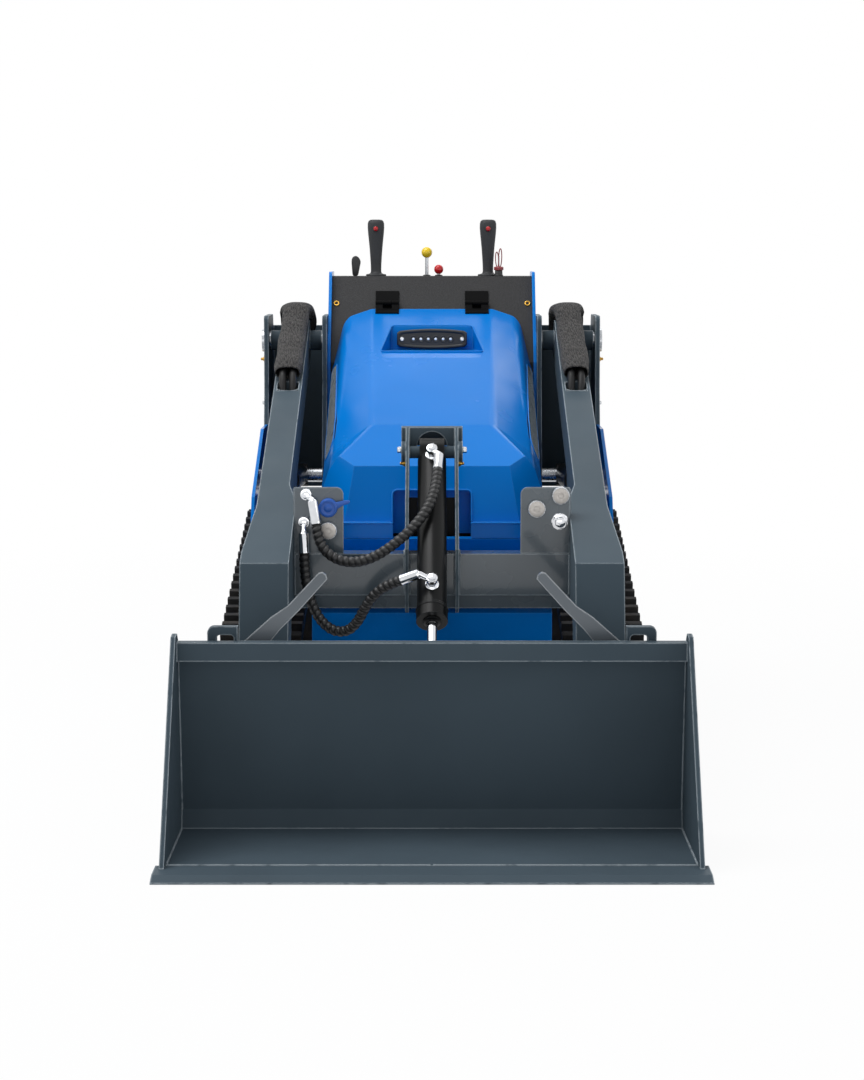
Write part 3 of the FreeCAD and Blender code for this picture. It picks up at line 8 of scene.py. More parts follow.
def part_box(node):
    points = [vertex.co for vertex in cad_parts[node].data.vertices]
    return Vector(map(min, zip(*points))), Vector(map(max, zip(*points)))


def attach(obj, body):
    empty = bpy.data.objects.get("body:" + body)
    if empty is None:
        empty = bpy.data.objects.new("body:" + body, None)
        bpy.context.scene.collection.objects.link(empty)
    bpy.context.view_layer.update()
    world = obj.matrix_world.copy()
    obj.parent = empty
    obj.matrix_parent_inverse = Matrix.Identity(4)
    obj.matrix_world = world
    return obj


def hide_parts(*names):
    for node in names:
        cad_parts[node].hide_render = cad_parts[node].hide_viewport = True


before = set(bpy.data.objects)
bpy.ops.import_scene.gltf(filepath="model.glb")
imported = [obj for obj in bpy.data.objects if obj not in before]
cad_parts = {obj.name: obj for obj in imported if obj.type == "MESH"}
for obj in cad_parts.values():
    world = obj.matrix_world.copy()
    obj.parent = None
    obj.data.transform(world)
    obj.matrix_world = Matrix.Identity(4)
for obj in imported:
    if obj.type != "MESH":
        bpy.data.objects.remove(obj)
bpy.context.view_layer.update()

scene = bpy.context.scene

MM = 0.001
SIDES = (("right", 1), ("left", -1))
UP = (0, 0, 1)
AHEAD = (0, -1, 0)


def mm(*place):
    return Vector(place) * MM


class NodeTree:
    """A node tree under construction."""

    def __init__(self, tree):
        self.nodes, self.links = tree.nodes, tree.links

    def add(self, kind, inputs=None, **settings):
        """A node with its settings, and its inputs given as values or as the sockets that feed them."""
        node = self.nodes.new(kind)
        for key, value in settings.items():
            setattr(node, key, value)
        for key, value in (inputs or {}).items():
            if isinstance(value, bpy.types.NodeSocket):
                self.links.new(value, node.inputs[key])
            else:
                node.inputs[key].default_value = value
        return node

    def maths(self, operation, first, second=0.0):
        return self.add("ShaderNodeMath", {0: first, 1: second}, operation=operation).outputs[0]

    def vector_maths(self, operation, first, second):
        """A sum, product or distance of two vectors, or a vector scaled by a number."""
        inputs = {0: first, "Scale" if operation == "SCALE" else 1: second}
        outputs = self.add("ShaderNodeVectorMath", inputs, operation=operation).outputs
        return outputs["Value" if operation in ("DISTANCE", "DOT_PRODUCT") else "Vector"]

    def vector(self, x=0.0, y=0.0, z=0.0):
        return self.add("ShaderNodeCombineXYZ", {0: x, 1: y, 2: z}).outputs[0]


# ---- Camera, light and ground ----

VIEW_PITCH = math.radians(6.984)
VIEW_PLACE = (0.0, -5.673, 1.212)
VIEW_LENS = 80.0
VIEW_SENSOR = 36.0
FLOOR_HALF = 9.0
AMBIENT = ((0.86, 0.89, 0.93, 1), 0.36)
WHITE = (1, 1, 1, 1)

# name, place, what it points at, size, power
LAMPS = (
    ("key_above", (-1.2, -0.2, 5.0), (0, -0.2, 0.5), (3.0, 2.4), 128),
    ("fill_right", (3.8, -2.0, 1.8), (0, -0.2, 0.6), (2.0, 2.4), 26),
    ("fill_left", (-3.2, -0.8, 3.5), (0, -0.1, 0.6), (2.0, 2.4), 44),
    ("rim_behind", (0.6, 4.2, 3.6), (0, 0.3, 0.8), (3.4, 1.6), 30),
    ("front_low", (0.0, -5.6, 0.9), (0, -0.8, 0.4), (3.4, 1.0), 17),
)


def placed(name, data):
    """A new object in the scene."""
    item = bpy.data.objects.new(name, data)
    scene.collection.objects.link(item)
    return item


def set_camera():
    lens = bpy.data.cameras.new("view")
    lens.lens = VIEW_LENS
    lens.sensor_width = VIEW_SENSOR
    camera = placed("view", lens)
    camera.location = VIEW_PLACE
    camera.rotation_euler = (math.pi / 2 - VIEW_PITCH, 0.0, 0.0)
    scene.camera = camera


def light_studio():
    for name, place, target, size, power in LAMPS:
        lamp = bpy.data.lights.new(name, "AREA")
        lamp.shape = "RECTANGLE"
        lamp.size, lamp.size_y = size
        lamp.energy = power
        holder = placed(name, lamp)
        holder.location = place
        holder.rotation_euler = (Vector(target) - Vector(place)).to_track_quat("-Z", "Y").to_euler()


def cleared_tree(owner):
    owner.use_nodes = True
    owner.node_tree.nodes.clear()
    return NodeTree(owner.node_tree)


def seen_directly(tree):
    """One where a camera, glossy or transmission ray meets the surface, else nought."""
    rays = tree.add("ShaderNodeLightPath").outputs
    total = rays["Is Camera Ray"]
    for kind in ("Is Glossy Ray", "Is Transmission Ray"):
        total = tree.maths("MAXIMUM", total, rays[kind])
    return total


def show(tree, output, share, first, second):
    """Sends two shaders, mixed by a share, to the tree's output."""
    mix = tree.add("ShaderNodeMixShader", {0: share, 1: first.outputs[0], 2: second.outputs[0]})
    tree.add(output, {"Surface": mix.outputs[0]})


def white_world():
    """White where it is seen, and a dimmer, cooler light on the surfaces."""
    scene.world = bpy.data.worlds.new("studio")
    tree = cleared_tree(scene.world)
    ambient = tree.add("ShaderNodeBackground", {"Color": AMBIENT[0], "Strength": AMBIENT[1]})
    white = tree.add("ShaderNodeBackground", {"Color": WHITE, "Strength": 1.0})
    show(tree, "ShaderNodeOutputWorld", seen_directly(tree), ambient, white)


def pale_floor():
    """A floor that is white where it is seen, but for a part that keeps the object's shadow near it."""
    mesh = bpy.data.meshes.new("floor")
    corners = [(x * FLOOR_HALF, y * FLOOR_HALF, 0) for x, y in ((-1, -1), (1, -1), (1, 1), (-1, 1))]
    mesh.from_pydata(corners, [], [(0, 1, 2, 3)])
    floor = placed("floor", mesh)
    material = bpy.data.materials.new("floor_white")
    tree = cleared_tree(material)
    matt = tree.add("ShaderNodeBsdfDiffuse", {"Color": (0.92, 0.93, 0.94, 1)})
    glow = tree.add("ShaderNodeEmission", {"Color": WHITE})
    place = tree.add("ShaderNodeTexCoord").outputs["Object"]
    away = tree.add("ShaderNodeVectorMath", {0: place}, operation="LENGTH").outputs["Value"]
    fade = tree.add("ShaderNodeMapRange", {"Value": away, "From Min": 1.4, "From Max": 4.2, "To Min": 0.94,
                                           "To Max": 1.0}).outputs["Result"]
    show(tree, "ShaderNodeOutputMaterial", tree.maths("MULTIPLY", seen_directly(tree), fade), matt, glow)
    floor.data.materials.append(material)


set_camera()
light_studio()
white_world()
pale_floor()
scene.view_settings.view_transform = "Standard"

# ---- Materials ----


def linear(code):
    """A hex colour as linear light."""
    parts = [int(code[i:i + 2], 16) / 255 for i in (1, 3, 5)]
    return tuple(p / 12.92 if p <= 0.04045 else ((p + 0.055) / 1.055) ** 2.4 for p in parts) + (1.0,)


EDGE_WEAR_AND_HIGHLIGHT_WIDTH = 0.0056


class Finish(NodeTree):
    """A material under construction: a Principled surface and the nodes that feed it."""

    def __init__(self, name, colour, roughness, metallic=0.0):
        self.material = bpy.data.materials.new(name)
        self.material.use_nodes = True
        super().__init__(self.material.node_tree)
        self.surface = self.nodes["Principled BSDF"]
        self.colour = linear(colour)
        self.set(Base_Color=self.colour, Roughness=roughness, Metallic=metallic)
        self.place = self.add("ShaderNodeTexCoord").outputs["Object"]
        self.normal = None

    def noise(self, scale, detail=3.0, roughness=0.5, place=None):
        return self.add("ShaderNodeTexNoise", {"Vector": place or self.place, "Scale": scale, "Detail": detail,
                                               "Roughness": roughness}).outputs["Fac"]

    def ramp(self, value, low, high, to_low=0.0, to_high=1.0):
        return self.add("ShaderNodeMapRange", {"Value": value, "From Min": low, "From Max": high,
                                               "To Min": to_low, "To Max": to_high}).outputs["Result"]

    def blend(self, share, first, second):
        """Two colours mixed by a share."""
        return self.add("ShaderNodeMix", {0: share, 6: first, 7: second}, data_type="RGBA").outputs[2]

    def tone(self, factor):
        """The base colour, darker or lighter."""
        return tuple(min(1, c * factor) for c in self.colour[:3]) + (1,)

    def mottle(self, scale, darker, lighter):
        """The base colour wanders between a darker and a lighter one."""
        share = self.ramp(self.noise(scale), 0.35, 0.65)
        colour = self.blend(share, self.tone(darker), self.tone(lighter))
        self.feed("Base Color", colour)
        return colour

    def feed(self, socket, value):
        self.links.new(value, self.surface.inputs[socket])

    def roughen(self, scale, low, high):
        self.feed("Roughness", self.ramp(self.noise(scale), 0.3, 0.7, low, high))

    def soft_edges(self, radius):
        """Edges catch the light as if they were rounded."""
        self.normal = self.add("ShaderNodeBevel", {"Radius": radius}, samples=4).outputs[0]
        self.feed("Normal", self.normal)

    def bump(self, height, distance, strength):
        inputs = {"Height": height, "Distance": distance, "Strength": strength}
        if self.normal:
            inputs["Normal"] = self.normal
        self.normal = self.add("ShaderNodeBump", inputs).outputs[0]
        self.feed("Normal", self.normal)

    def edge_wear_and_highlight(self, colour, base, amount):
        """A lighter tone along the edges: partly paint worn thin, partly a painted highlight where the edges catch the
        light.
        """
        bevel = self.add("ShaderNodeBevel", {"Radius": EDGE_WEAR_AND_HIGHLIGHT_WIDTH}, samples=4).outputs[0]
        true = self.add("ShaderNodeNewGeometry").outputs["True Normal"]
        edge = self.ramp(self.vector_maths("DOT_PRODUCT", bevel, true), 0.96, 0.72, 0.0, amount)
        patchy_wear_and_highlight = self.maths("MULTIPLY", edge, self.ramp(self.noise(38, 4), 0.25, 0.45))
        self.feed("Base Color", self.blend(patchy_wear_and_highlight, base, linear(colour)))

    def set(self, **values):
        for key, value in values.items():
            self.surface.inputs[key.replace("_", " ")].default_value = value
        return self


def paint(name, colour, roughness, coat, peel, edge_wear_and_highlight_colour, shine, spread=(0.94, 1.06), edge=0.9):
    """Sprayed paint: slightly uneven, with orange peel, soft edges and a lighter tone along them, partly wear and
    partly a painted highlight.
    """
    finish = Finish(name, colour, roughness)
    base = finish.mottle(3.5, *spread)
    finish.roughen(9, roughness - 0.05, roughness + 0.06)
    finish.soft_edges(0.0022)
    finish.bump(finish.noise(420, 2), 0.0002, peel)
    finish.edge_wear_and_highlight(edge_wear_and_highlight_colour, base, edge)
    return finish.set(Coat_Weight=coat, Coat_Roughness=0.08, Specular_IOR_Level=shine).material


def powder_coat(name, colour, roughness):
    """A coarse textured coat, as on the console."""
    finish = Finish(name, colour, roughness)
    cells = finish.add("ShaderNodeTexVoronoi", {"Vector": finish.place, "Scale": 430}).outputs["Distance"]
    height = finish.maths("ADD", cells, finish.noise(900, 2))
    finish.soft_edges(0.0015)
    finish.bump(height, 0.0006, 0.75)
    speck = finish.ramp(height, 0.75, 1.15)
    finish.feed("Base Color", finish.blend(speck, finish.tone(0.7), finish.tone(1.5)))
    return finish.set(Specular_IOR_Level=0.3).material


def metal(name, colour, roughness, scratch=0.25):
    """Bare metal, finely scuffed."""
    finish = Finish(name, colour, roughness, 1.0)
    lines = finish.noise(260, 3, 0.6)
    finish.feed("Roughness", finish.ramp(lines, 0.3, 0.7, roughness * 0.7, roughness * 1.3))
    finish.soft_edges(0.0008)
    finish.bump(lines, 0.0001, scratch)
    finish.mottle(22, 0.9, 1.06)
    return finish.material


LIFT_BASE, LIFT_EYE = (558, 620), (-32, 660)
TILT_BASE, TILT_EYE = (-292, 752), (-731, 325)
EYE_PAINTED = 0.0285


def rod_chrome(name, eye):
    """Hard chrome on a rod whose eye, round a point of the side view, is painted black."""
    finish = Finish(name, "#dcdee2", 0.09)
    split = finish.add("ShaderNodeSeparateXYZ", {0: finish.place}).outputs
    away = finish.vector_maths("DISTANCE", finish.vector(0, split[1], split[2]), mm(0, *eye))
    bare = finish.ramp(away, EYE_PAINTED, EYE_PAINTED + 0.001)
    finish.feed("Base Color", finish.blend(bare, linear("#121314"), finish.colour))
    finish.feed("Metallic", bare)
    finish.feed("Roughness", finish.ramp(bare, 0, 1, 0.3, 0.09))
    finish.soft_edges(0.0012)
    finish.bump(finish.noise(300, 2), 0.0001, 0.1)
    return finish.material


def plastic(name, colour, roughness, grain=0.3):
    """A moulded plastic with a fine grain."""
    finish = Finish(name, colour, roughness)
    finish.mottle(12, 0.9, 1.12)
    finish.soft_edges(0.0012)
    finish.bump(finish.noise(700, 2), 0.00025, grain)
    return finish.material


def moulded_rubber(name, colour, dust, roughness):
    """Track and hose rubber, dusty where the noise says and finely pitted."""
    finish = Finish(name, colour, roughness)
    share = finish.ramp(finish.noise(14, 5, 0.6), 0.45, 0.72, 0.0, 0.55)
    finish.feed("Base Color", finish.blend(share, finish.colour, linear(dust)))
    finish.soft_edges(0.002)
    finish.bump(finish.noise(330, 4), 0.0006, 0.5)
    finish.roughen(30, roughness - 0.08, roughness + 0.08)
    return finish.set(Specular_IOR_Level=0.25).material


def woven_nylon(name, colour, light, thread):
    """A braided sleeve: crossing threads in the piece's own length and girth, under loose fibres."""
    finish = Finish(name, colour, 0.9)
    uv = finish.add("ShaderNodeUVMap", uv_map="weave").outputs[0]
    across, along = [finish.maths("MULTIPLY", share, 2 * math.pi / thread)
                     for share in finish.add("ShaderNodeSeparateXYZ", {0: uv}).outputs[:2]]
    one = finish.maths("SINE", finish.maths("ADD", along, across))
    two = finish.maths("SINE", finish.maths("SUBTRACT", along, across))
    weave = finish.ramp(finish.maths("MULTIPLY", one, two), -1, 1)
    drawn = finish.add("ShaderNodeMapping", {"Vector": uv, "Scale": (1.0, 0.12, 1.0)}).outputs[0]
    fibres = finish.ramp(finish.noise(480, 2, 0.5, drawn), 0.42, 0.58)
    height = finish.maths("ADD", finish.maths("MULTIPLY", weave, 0.12), fibres)
    finish.feed("Base Color", finish.blend(finish.ramp(height, 0.15, 1.1), finish.colour, linear(light)))
    finish.bump(height, 0.0022, 1.0)
    return finish.set(Sheen_Weight=0.2, Sheen_Roughness=0.5, Specular_IOR_Level=0.15).material


def vinyl(name, colour):
    """A soft sheet with a leather grain."""
    finish = Finish(name, colour, 0.55)
    cells = finish.add("ShaderNodeTexVoronoi", {"Vector": finish.place, "Scale": 310}, feature="DISTANCE_TO_EDGE")
    grain = finish.ramp(cells.outputs["Distance"], 0.0, 0.25)
    finish.bump(grain, 0.0006, 0.5)
    finish.mottle(9, 0.85, 1.15)
    return finish.material


def glow_glass(name, colour, strength):
    """A lens with fine facets, faintly lit."""
    finish = Finish(name, colour, 0.12)
    facets = finish.add("ShaderNodeTexVoronoi", {"Vector": finish.place, "Scale": 520}).outputs["Distance"]
    finish.bump(facets, 0.0004, 0.6)
    return finish.set(Emission_Color=linear(colour), Emission_Strength=strength).material


# The edge colours and edge shares below give each paint a lighter tone along its edges, partly wear and partly a
# painted highlight.
SLATE = paint("slate_paint", "#4a5760", 0.46, 0.0, 0.3, "#c6d0d6", 0.06, edge=1.0)
GLOSSY_SLATE = paint("slate_gloss", "#4a5760", 0.26, 0.8, 0.3, "#b4c0c7", 0.5)
BLUE = paint("blue_paint", "#007bd6", 0.22, 0.0, 0.1, "#6fb1f2", 0.10, (0.97, 1.03), 0.3)
BLACK = paint("black_paint", "#101112", 0.30, 0.0, 0.2, "#3d4043", 0.14, edge=0.6)
HINGE_BLACK = paint("hinge_black", "#060607", 0.5, 0.0, 0.2, "#1c1d1e", 0.05, edge=0.5)
GREY = paint("lever_paint", "#6d747a", 0.30, 0.1, 0.3, "#eef2f5", 0.4, edge=1.0)
CHARCOAL = powder_coat("console_coat", "#252526", 0.62)
STEEL = metal("zinc_steel", "#b9bcc0", 0.27)
CHROME = metal("hard_chrome", "#dcdee2", 0.09, 0.08)
LIFT_ROD = rod_chrome("lift_rod_chrome", LIFT_EYE)
TILT_ROD = rod_chrome("tilt_rod_chrome", TILT_EYE)
BRASS = metal("brass", "#c59a45", 0.28)
TRACK = moulded_rubber("track_rubber", "#1d1d1e", "#4a443e", 0.78)
WRAP = plastic("spiral_wrap", "#17181a", 0.42, 0.2)
HOSE = moulded_rubber("hose_rubber", "#141415", "#26282a", 0.5)
PLASTIC = plastic("black_plastic", "#1c1d1f", 0.46)
GRIP = plastic("grip_rubber", "#202225", 0.62, 0.7)
RED = plastic("red_plastic", "#c3141b", 0.2, 0.05)
YELLOW = plastic("yellow_plastic", "#e8c41c", 0.2, 0.05)
NYLON = woven_nylon("sleeve_nylon", "#161516", "#494644", 0.0042)
VINYL = vinyl("pad_vinyl", "#202124")
LED = glow_glass("led_lens", "#dfe8f2", 0.25)
# Near-black for the discs in the console inserts' sockets: painted shade for the hollow.
SOCKET_SHADE_BLACK = plastic("deep_shadow_black", "#0a0a0b", 0.8)
CAP_BLUE = plastic("blue_plastic", "#1f5fbe", 0.35, 0.1)
STEM = metal("lever_steel", "#a9acb0", 0.3, 0.0)
FACE = metal("matt_zinc", "#b3afab", 0.55, 0.1)
KEY_RED = plastic("key_red", "#8f2a30", 0.28, 0.05)
THREAD = plastic("pad_thread", "#3a3b3e", 0.7)

CAD_FINISH = {
    BLUE: ("hood_shell", "hood_notch_panel", "chassis_tub", "console_side_plates", "fenders"),
    SLATE: ("lift_arm_right", "lift_arm_left", "tilt_bracket", "hitch_plate", "bucket_shell", "cutting_edge",
            "towers", "track_frames", "front_idlers", "track_rollers", "drive_sprockets", "platform_lugs",
            "grab_bar"),
    GLOSSY_SLATE: ("cross_tube", "coupler_plates"),
    # hood_grilles fills each side opening behind the wire: its black is painted shade for the dark space behind the
    # grille.
    BLACK: ("engine_block", "hood_grilles", "lift_barrel_right", "lift_barrel_left", "tilt_barrel",
            "platform_step"),
    HINGE_BLACK: ("hood_hinge_mounts", "hood_hinge_leaves"),
    GREY: ("lock_levers",),
    CHARCOAL: ("console_panel",),
    STEEL: ("tower_pins", "hydraulic_couplers", "barrel_fittings"),
    LIFT_ROD: ("lift_rod_right", "lift_rod_left"),
    TILT_ROD: ("tilt_rod_bar",),
    TRACK: ("track_right", "track_left"),
    GRIP: ("drive_grips",),
    PLASTIC: ("throttle_lever", "work_lamp"),
    RED: ("ball_levers", "key_switch"),
    NYLON: ("hose_sleeves",),
    VINYL: ("thigh_pad",),
    HOSE: ("tilt_hose_upper", "tilt_hose_lower"),
}
for finish, names in CAD_FINISH.items():
    for name in names:
        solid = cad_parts[name]
        solid.data.materials.clear()
        solid.data.materials.append(finish)

# ---- Piece building ----


def piece(name, mesh, finish, body, smooth, replaced=()):
    """A finished mesh becomes a named piece on its body, with edges sharper than an angle left sharp."""
    item = placed(name, mesh)
    mesh.materials.clear()
    mesh.materials.append(finish)
    mesh.shade_smooth()
    mesh.set_sharp_from_angle(angle=math.radians(smooth))
    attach(item, body)
    if replaced:
        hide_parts(*replaced)
    return item


def forms(count):
    """Empty forms to build shapes in."""
    return [bmesh.new() for _ in range(count)]


def as_mesh(name, form):
    mesh = bpy.data.meshes.new(name)
    form.to_mesh(mesh)
    form.free()
    return mesh


def made(name, form, finish, body, smooth, replaced=()):
    """A form becomes a named piece, with its faces outward."""
    bmesh.ops.remove_doubles(form, verts=form.verts, dist=1e-6)
    bmesh.ops.recalc_face_normals(form, faces=form.faces)
    return piece(name, as_mesh(name, form), finish, body, smooth, replaced)


# ---- Geometry Nodes ----


class Network(NodeTree):
    """A Geometry Nodes tree with named inputs."""

    def __init__(self, name, **sizes):
        self.tree = bpy.data.node_groups.new(name, "GeometryNodeTree")
        super().__init__(self.tree)
        sockets = self.tree.interface
        sockets.new_socket("Geometry", in_out="INPUT", socket_type="NodeSocketGeometry")
        for label, value in sizes.items():
            sockets.new_socket(label, in_out="INPUT", socket_type="NodeSocketFloat").default_value = value
        sockets.new_socket("Finish", in_out="INPUT", socket_type="NodeSocketMaterial")
        sockets.new_socket("Geometry", in_out="OUTPUT", socket_type="NodeSocketGeometry")
        self.inputs = self.nodes.new("NodeGroupInput").outputs

    def attribute(self, name, kind):
        return self.add("GeometryNodeInputNamedAttribute", {"Name": name}, data_type=kind).outputs[0]

    def moved(self, geometry, **change):
        return self.add("GeometryNodeTransform", {"Geometry": geometry, **change}).outputs[0]

    def resampled(self, length):
        """The incoming curve cut into runs of a length."""
        return self.add("GeometryNodeResampleCurve", {"Curve": self.inputs["Geometry"], "Length": length},
                        mode="LENGTH").outputs[0]

    def tube(self, curve, ring, **inputs):
        """A ring pushed along a curve."""
        return self.add("GeometryNodeCurveToMesh", {"Curve": curve, "Profile Curve": ring, **inputs}).outputs[0]

    def circle(self, corners, radius):
        return self.add("GeometryNodeCurvePrimitiveCircle", {"Resolution": corners, "Radius": radius}).outputs[0]

    def on_points(self, geometry, **inputs):
        return self.add("GeometryNodeInstanceOnPoints", {"Points": self.inputs["Geometry"], "Instance": geometry,
                                                         **inputs}).outputs[0]

    def finish(self, geometry):
        real = self.add("GeometryNodeRealizeInstances", {0: geometry}).outputs[0]
        done = self.add("GeometryNodeSetMaterial", {"Geometry": real, "Material": self.inputs["Finish"]})
        self.add("NodeGroupOutput", {0: done.outputs[0]})
        return self


def grown(name, base, network, finish, body, slot, smooth, **values):
    """The network's result on a base mesh or curve, as a named piece with a plain mesh."""
    holder = placed(name + "_base", base)
    modifier = holder.modifiers.new("grow", "NODES")
    modifier.node_group = network.tree
    for socket in network.tree.interface.items_tree:
        if socket.in_out != "INPUT":
            continue
        if socket.name == "Finish":
            modifier[socket.identifier] = finish
        elif socket.name in values:
            modifier[socket.identifier] = float(values[socket.name])
    graph = bpy.context.evaluated_depsgraph_get()
    mesh = bpy.data.meshes.new_from_object(holder.evaluated_get(graph), depsgraph=graph)
    mesh.name = name
    bpy.data.objects.remove(holder)
    return piece(name, mesh, finish, body, smooth)


def point_cloud(name, spots):
    """Loose points that carry the direction they face and their size: [(place, direction, size)]."""
    places, directions, sizes = zip(*spots)
    mesh = bpy.data.meshes.new(name)
    mesh.from_pydata(places, [], [])
    facing = mesh.attributes.new("facing", "FLOAT_VECTOR", "POINT")
    facing.data.foreach_set("vector", [c for direction in directions for c in Vector(direction).normalized()])
    mesh.attributes.new("size", "FLOAT", "POINT").data.foreach_set("value", sizes)
    return mesh


HEXAGON_CORNER = 0.577
WASHER_THICK = 0.14


def bolt_network():
    """A hexagon head on a round washer at each point, as wide as the point's size says."""
    net = Network("bolt_heads", Height=0.62, Washer=0.62, Crown=0.12)
    height = net.inputs["Height"]
    crown = net.add("GeometryNodeMeshCone", {"Vertices": 6, "Radius Top": 0.50, "Radius Bottom": HEXAGON_CORNER,
                                             "Depth": net.inputs["Crown"]}).outputs["Mesh"]
    shank = net.add("GeometryNodeMeshCylinder", {"Vertices": 6, "Radius": HEXAGON_CORNER, "Depth": height})
    washer = net.add("GeometryNodeMeshCylinder", {"Vertices": 20, "Radius": net.inputs["Washer"],
                                                  "Depth": WASHER_THICK})
    whole = net.add("GeometryNodeJoinGeometry")
    for part, rise in ((crown, height), (shank.outputs["Mesh"], net.maths("MULTIPLY", height, 0.5)),
                       (washer.outputs["Mesh"], WASHER_THICK / 2)):
        net.links.new(net.moved(part, Translation=net.vector(0, 0, rise)), whole.inputs[0])
    facing = net.attribute("facing", "FLOAT_VECTOR")
    turn = net.add("FunctionNodeAlignRotationToVector", {"Vector": facing}, axis="Z").outputs[0]
    return net.finish(net.on_points(whole.outputs[0], Rotation=turn, Scale=net.attribute("size", "FLOAT")))


def weld_network():
    """A rippled bead along a curve."""
    net = Network("weld_bead", Radius=0.003, Ripple=0.0035)
    line = net.resampled(net.maths("DIVIDE", net.inputs["Ripple"], 2.0))
    index = net.add("GeometryNodeInputIndex").outputs[0]
    wave = net.maths("MULTIPLY", net.maths("MODULO", index, 2.0), 0.28)
    width = net.maths("MULTIPLY", net.maths("ADD", wave, 0.82), net.inputs["Radius"])
    return net.finish(net.tube(line, net.circle(6, 1.0), Scale=width, **{"Fill Caps": True}))


def wrap_network():
    """A flat strip wound round a curve."""
    net = Network("spiral_wrap", Radius=0.0098, Pitch=0.0128, Width=0.0104, Thick=0.0040)
    pitch = net.inputs["Pitch"]
    line = net.resampled(net.maths("DIVIDE", pitch, 12.0))
    along = net.add("GeometryNodeSplineParameter").outputs["Length"]
    angle = net.maths("MULTIPLY", net.maths("DIVIDE", along, pitch), 2 * math.pi)
    normal = net.add("GeometryNodeInputNormal").outputs[0]
    other = net.vector_maths("CROSS_PRODUCT", net.add("GeometryNodeInputTangent").outputs[0], normal)
    out = net.vector_maths("ADD", net.vector_maths("SCALE", normal, net.maths("COSINE", angle)),
                           net.vector_maths("SCALE", other, net.maths("SINE", angle)))
    held = net.add("GeometryNodeCaptureAttribute", {"Geometry": line})
    held.capture_items.new("VECTOR", "out")
    net.links.new(out, held.inputs["out"])
    shift = net.vector_maths("SCALE", held.outputs["out"], net.inputs["Radius"])
    helix = net.add("GeometryNodeSetPosition", {"Geometry": held.outputs[0], "Offset": shift}).outputs[0]
    free = net.add("GeometryNodeSetCurveNormal", {"Curve": helix, "Normal": held.outputs["out"]}, mode="FREE")
    strip = net.moved(net.circle(8, 0.5), Scale=net.vector(net.inputs["Thick"], net.inputs["Width"], 1.0))
    return net.finish(net.tube(free.outputs[0], strip, **{"Fill Caps": True}))


def mesh_network():
    """Thin wires along every edge of a flat mesh."""
    net = Network("wire_mesh", Wire=0.0011)
    lines = net.add("GeometryNodeMeshToCurve", {0: net.inputs["Geometry"]}).outputs[0]
    return net.finish(net.tube(lines, net.circle(4, net.inputs["Wire"])))


def stud_network():
    """Raised oval studs on a flat sheet's points, alternately turned, as on a tread plate."""
    net = Network("tread_studs", Long=0.013, Wide=0.004, High=0.0016)
    ball = net.add("GeometryNodeMeshUVSphere", {"Segments": 10, "Rings": 6, "Radius": 1.0}).outputs["Mesh"]
    stud = net.moved(ball, Scale=net.vector(*(net.inputs[label] for label in ("Long", "Wide", "High"))))
    return net.finish(net.on_points(stud, Rotation=net.vector(0, 0, net.attribute("size", "FLOAT"))))


BOLTS = bolt_network()
WELD = weld_network()
SPIRAL = wrap_network()
WIRE = mesh_network()
STUDS = stud_network()


def curve_data(name, lines, kind="POLY"):
    """A curve object's data with one spline through the points of each line."""
    data = bpy.data.curves.new(name, "CURVE")
    data.dimensions = "3D"
    for line in lines:
        spline = data.splines.new(kind)
        spline.points.add(len(line) - 1)
        for point, place in zip(spline.points, line):
            point.co = (*place, 1)
    return data


# ---- Hoses that cross to the tilt cylinder ----

HOSE_WIDE = 0.022
UPPER_HOSE = [
    (-252, -497, 612), (-247, -503, 580), (-231, -508, 553), (-203, -512, 535), (-166, -514, 530), (-127, -512, 541),
    (-88, -508, 565), (-50, -502, 596), (-19, -487, 630), (0, -460, 662), (9, -428, 694), (12, -400, 722),
]
LOWER_HOSE = [
    (-278, -492, 548), (-277, -496, 512), (-272, -501, 474), (-261, -508, 436), (-241, -518, 402), (-213, -530, 382),
    (-182, -542, 384), (-159, -553, 408), (-145, -563, 438), (-126, -574, 468), (-98, -586, 491), (-66, -597, 504),
]


def spline_data(name, route, radius):
    """A smooth curve that a route's points pull on, with a round bevel."""
    data = curve_data(name, [[mm(*place) for place in route]], "NURBS")
    spline = data.splines[0]
    spline.order_u = 3
    spline.use_endpoint_u = True
    spline.resolution_u = 12
    data.resolution_u = 12
    data.bevel_depth = radius
    data.bevel_resolution = 5
    data.use_fill_caps = True
    return data


def bridge_hose(name, route, node):
    """A hydraulic hose and the spiral guard wound on it."""
    core = placed(name, spline_data(name, route, HOSE_WIDE / 2 - 0.0008))
    core.data.materials.append(HOSE)
    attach(core, "arms")
    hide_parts(node)
    guard = grown(name + "_guard", spline_data(name + "_path", route, 0.0), SPIRAL, WRAP, "arms", "hose_rubber", 60)


bridge_hose("upper_tilt_hose", UPPER_HOSE, "tilt_hose_upper")
bridge_hose("lower_tilt_hose", LOWER_HOSE, "tilt_hose_lower")

# ---- Turned, swept and stacked shapes ----


def frame_at(place, direction, spin=0.0):
    """The matrix that stands a shape made along +Z at a place, along a direction."""
    turn = Vector(direction).to_track_quat("Z", "Y").to_matrix().to_4x4()
    return Matrix.Translation(Vector(place)) @ turn @ Matrix.Rotation(spin, 4, "Z")


def circle(radius, steps):
    angles = [2 * math.pi * i / steps for i in range(steps)]
    return [(radius * math.cos(angle), radius * math.sin(angle)) for angle in angles]


def join_rings(form, rings):
    """Faces from each ring of points to the next, where a ring may be a single point."""
    for low, high in zip(rings, rings[1:]):
        for i in range(max(len(low), len(high))):
            j = i + 1
            corners = (low[i % len(low)], low[j % len(low)], high[j % len(high)], high[i % len(high)])
            form.faces.new(tuple(dict.fromkeys(corners)))


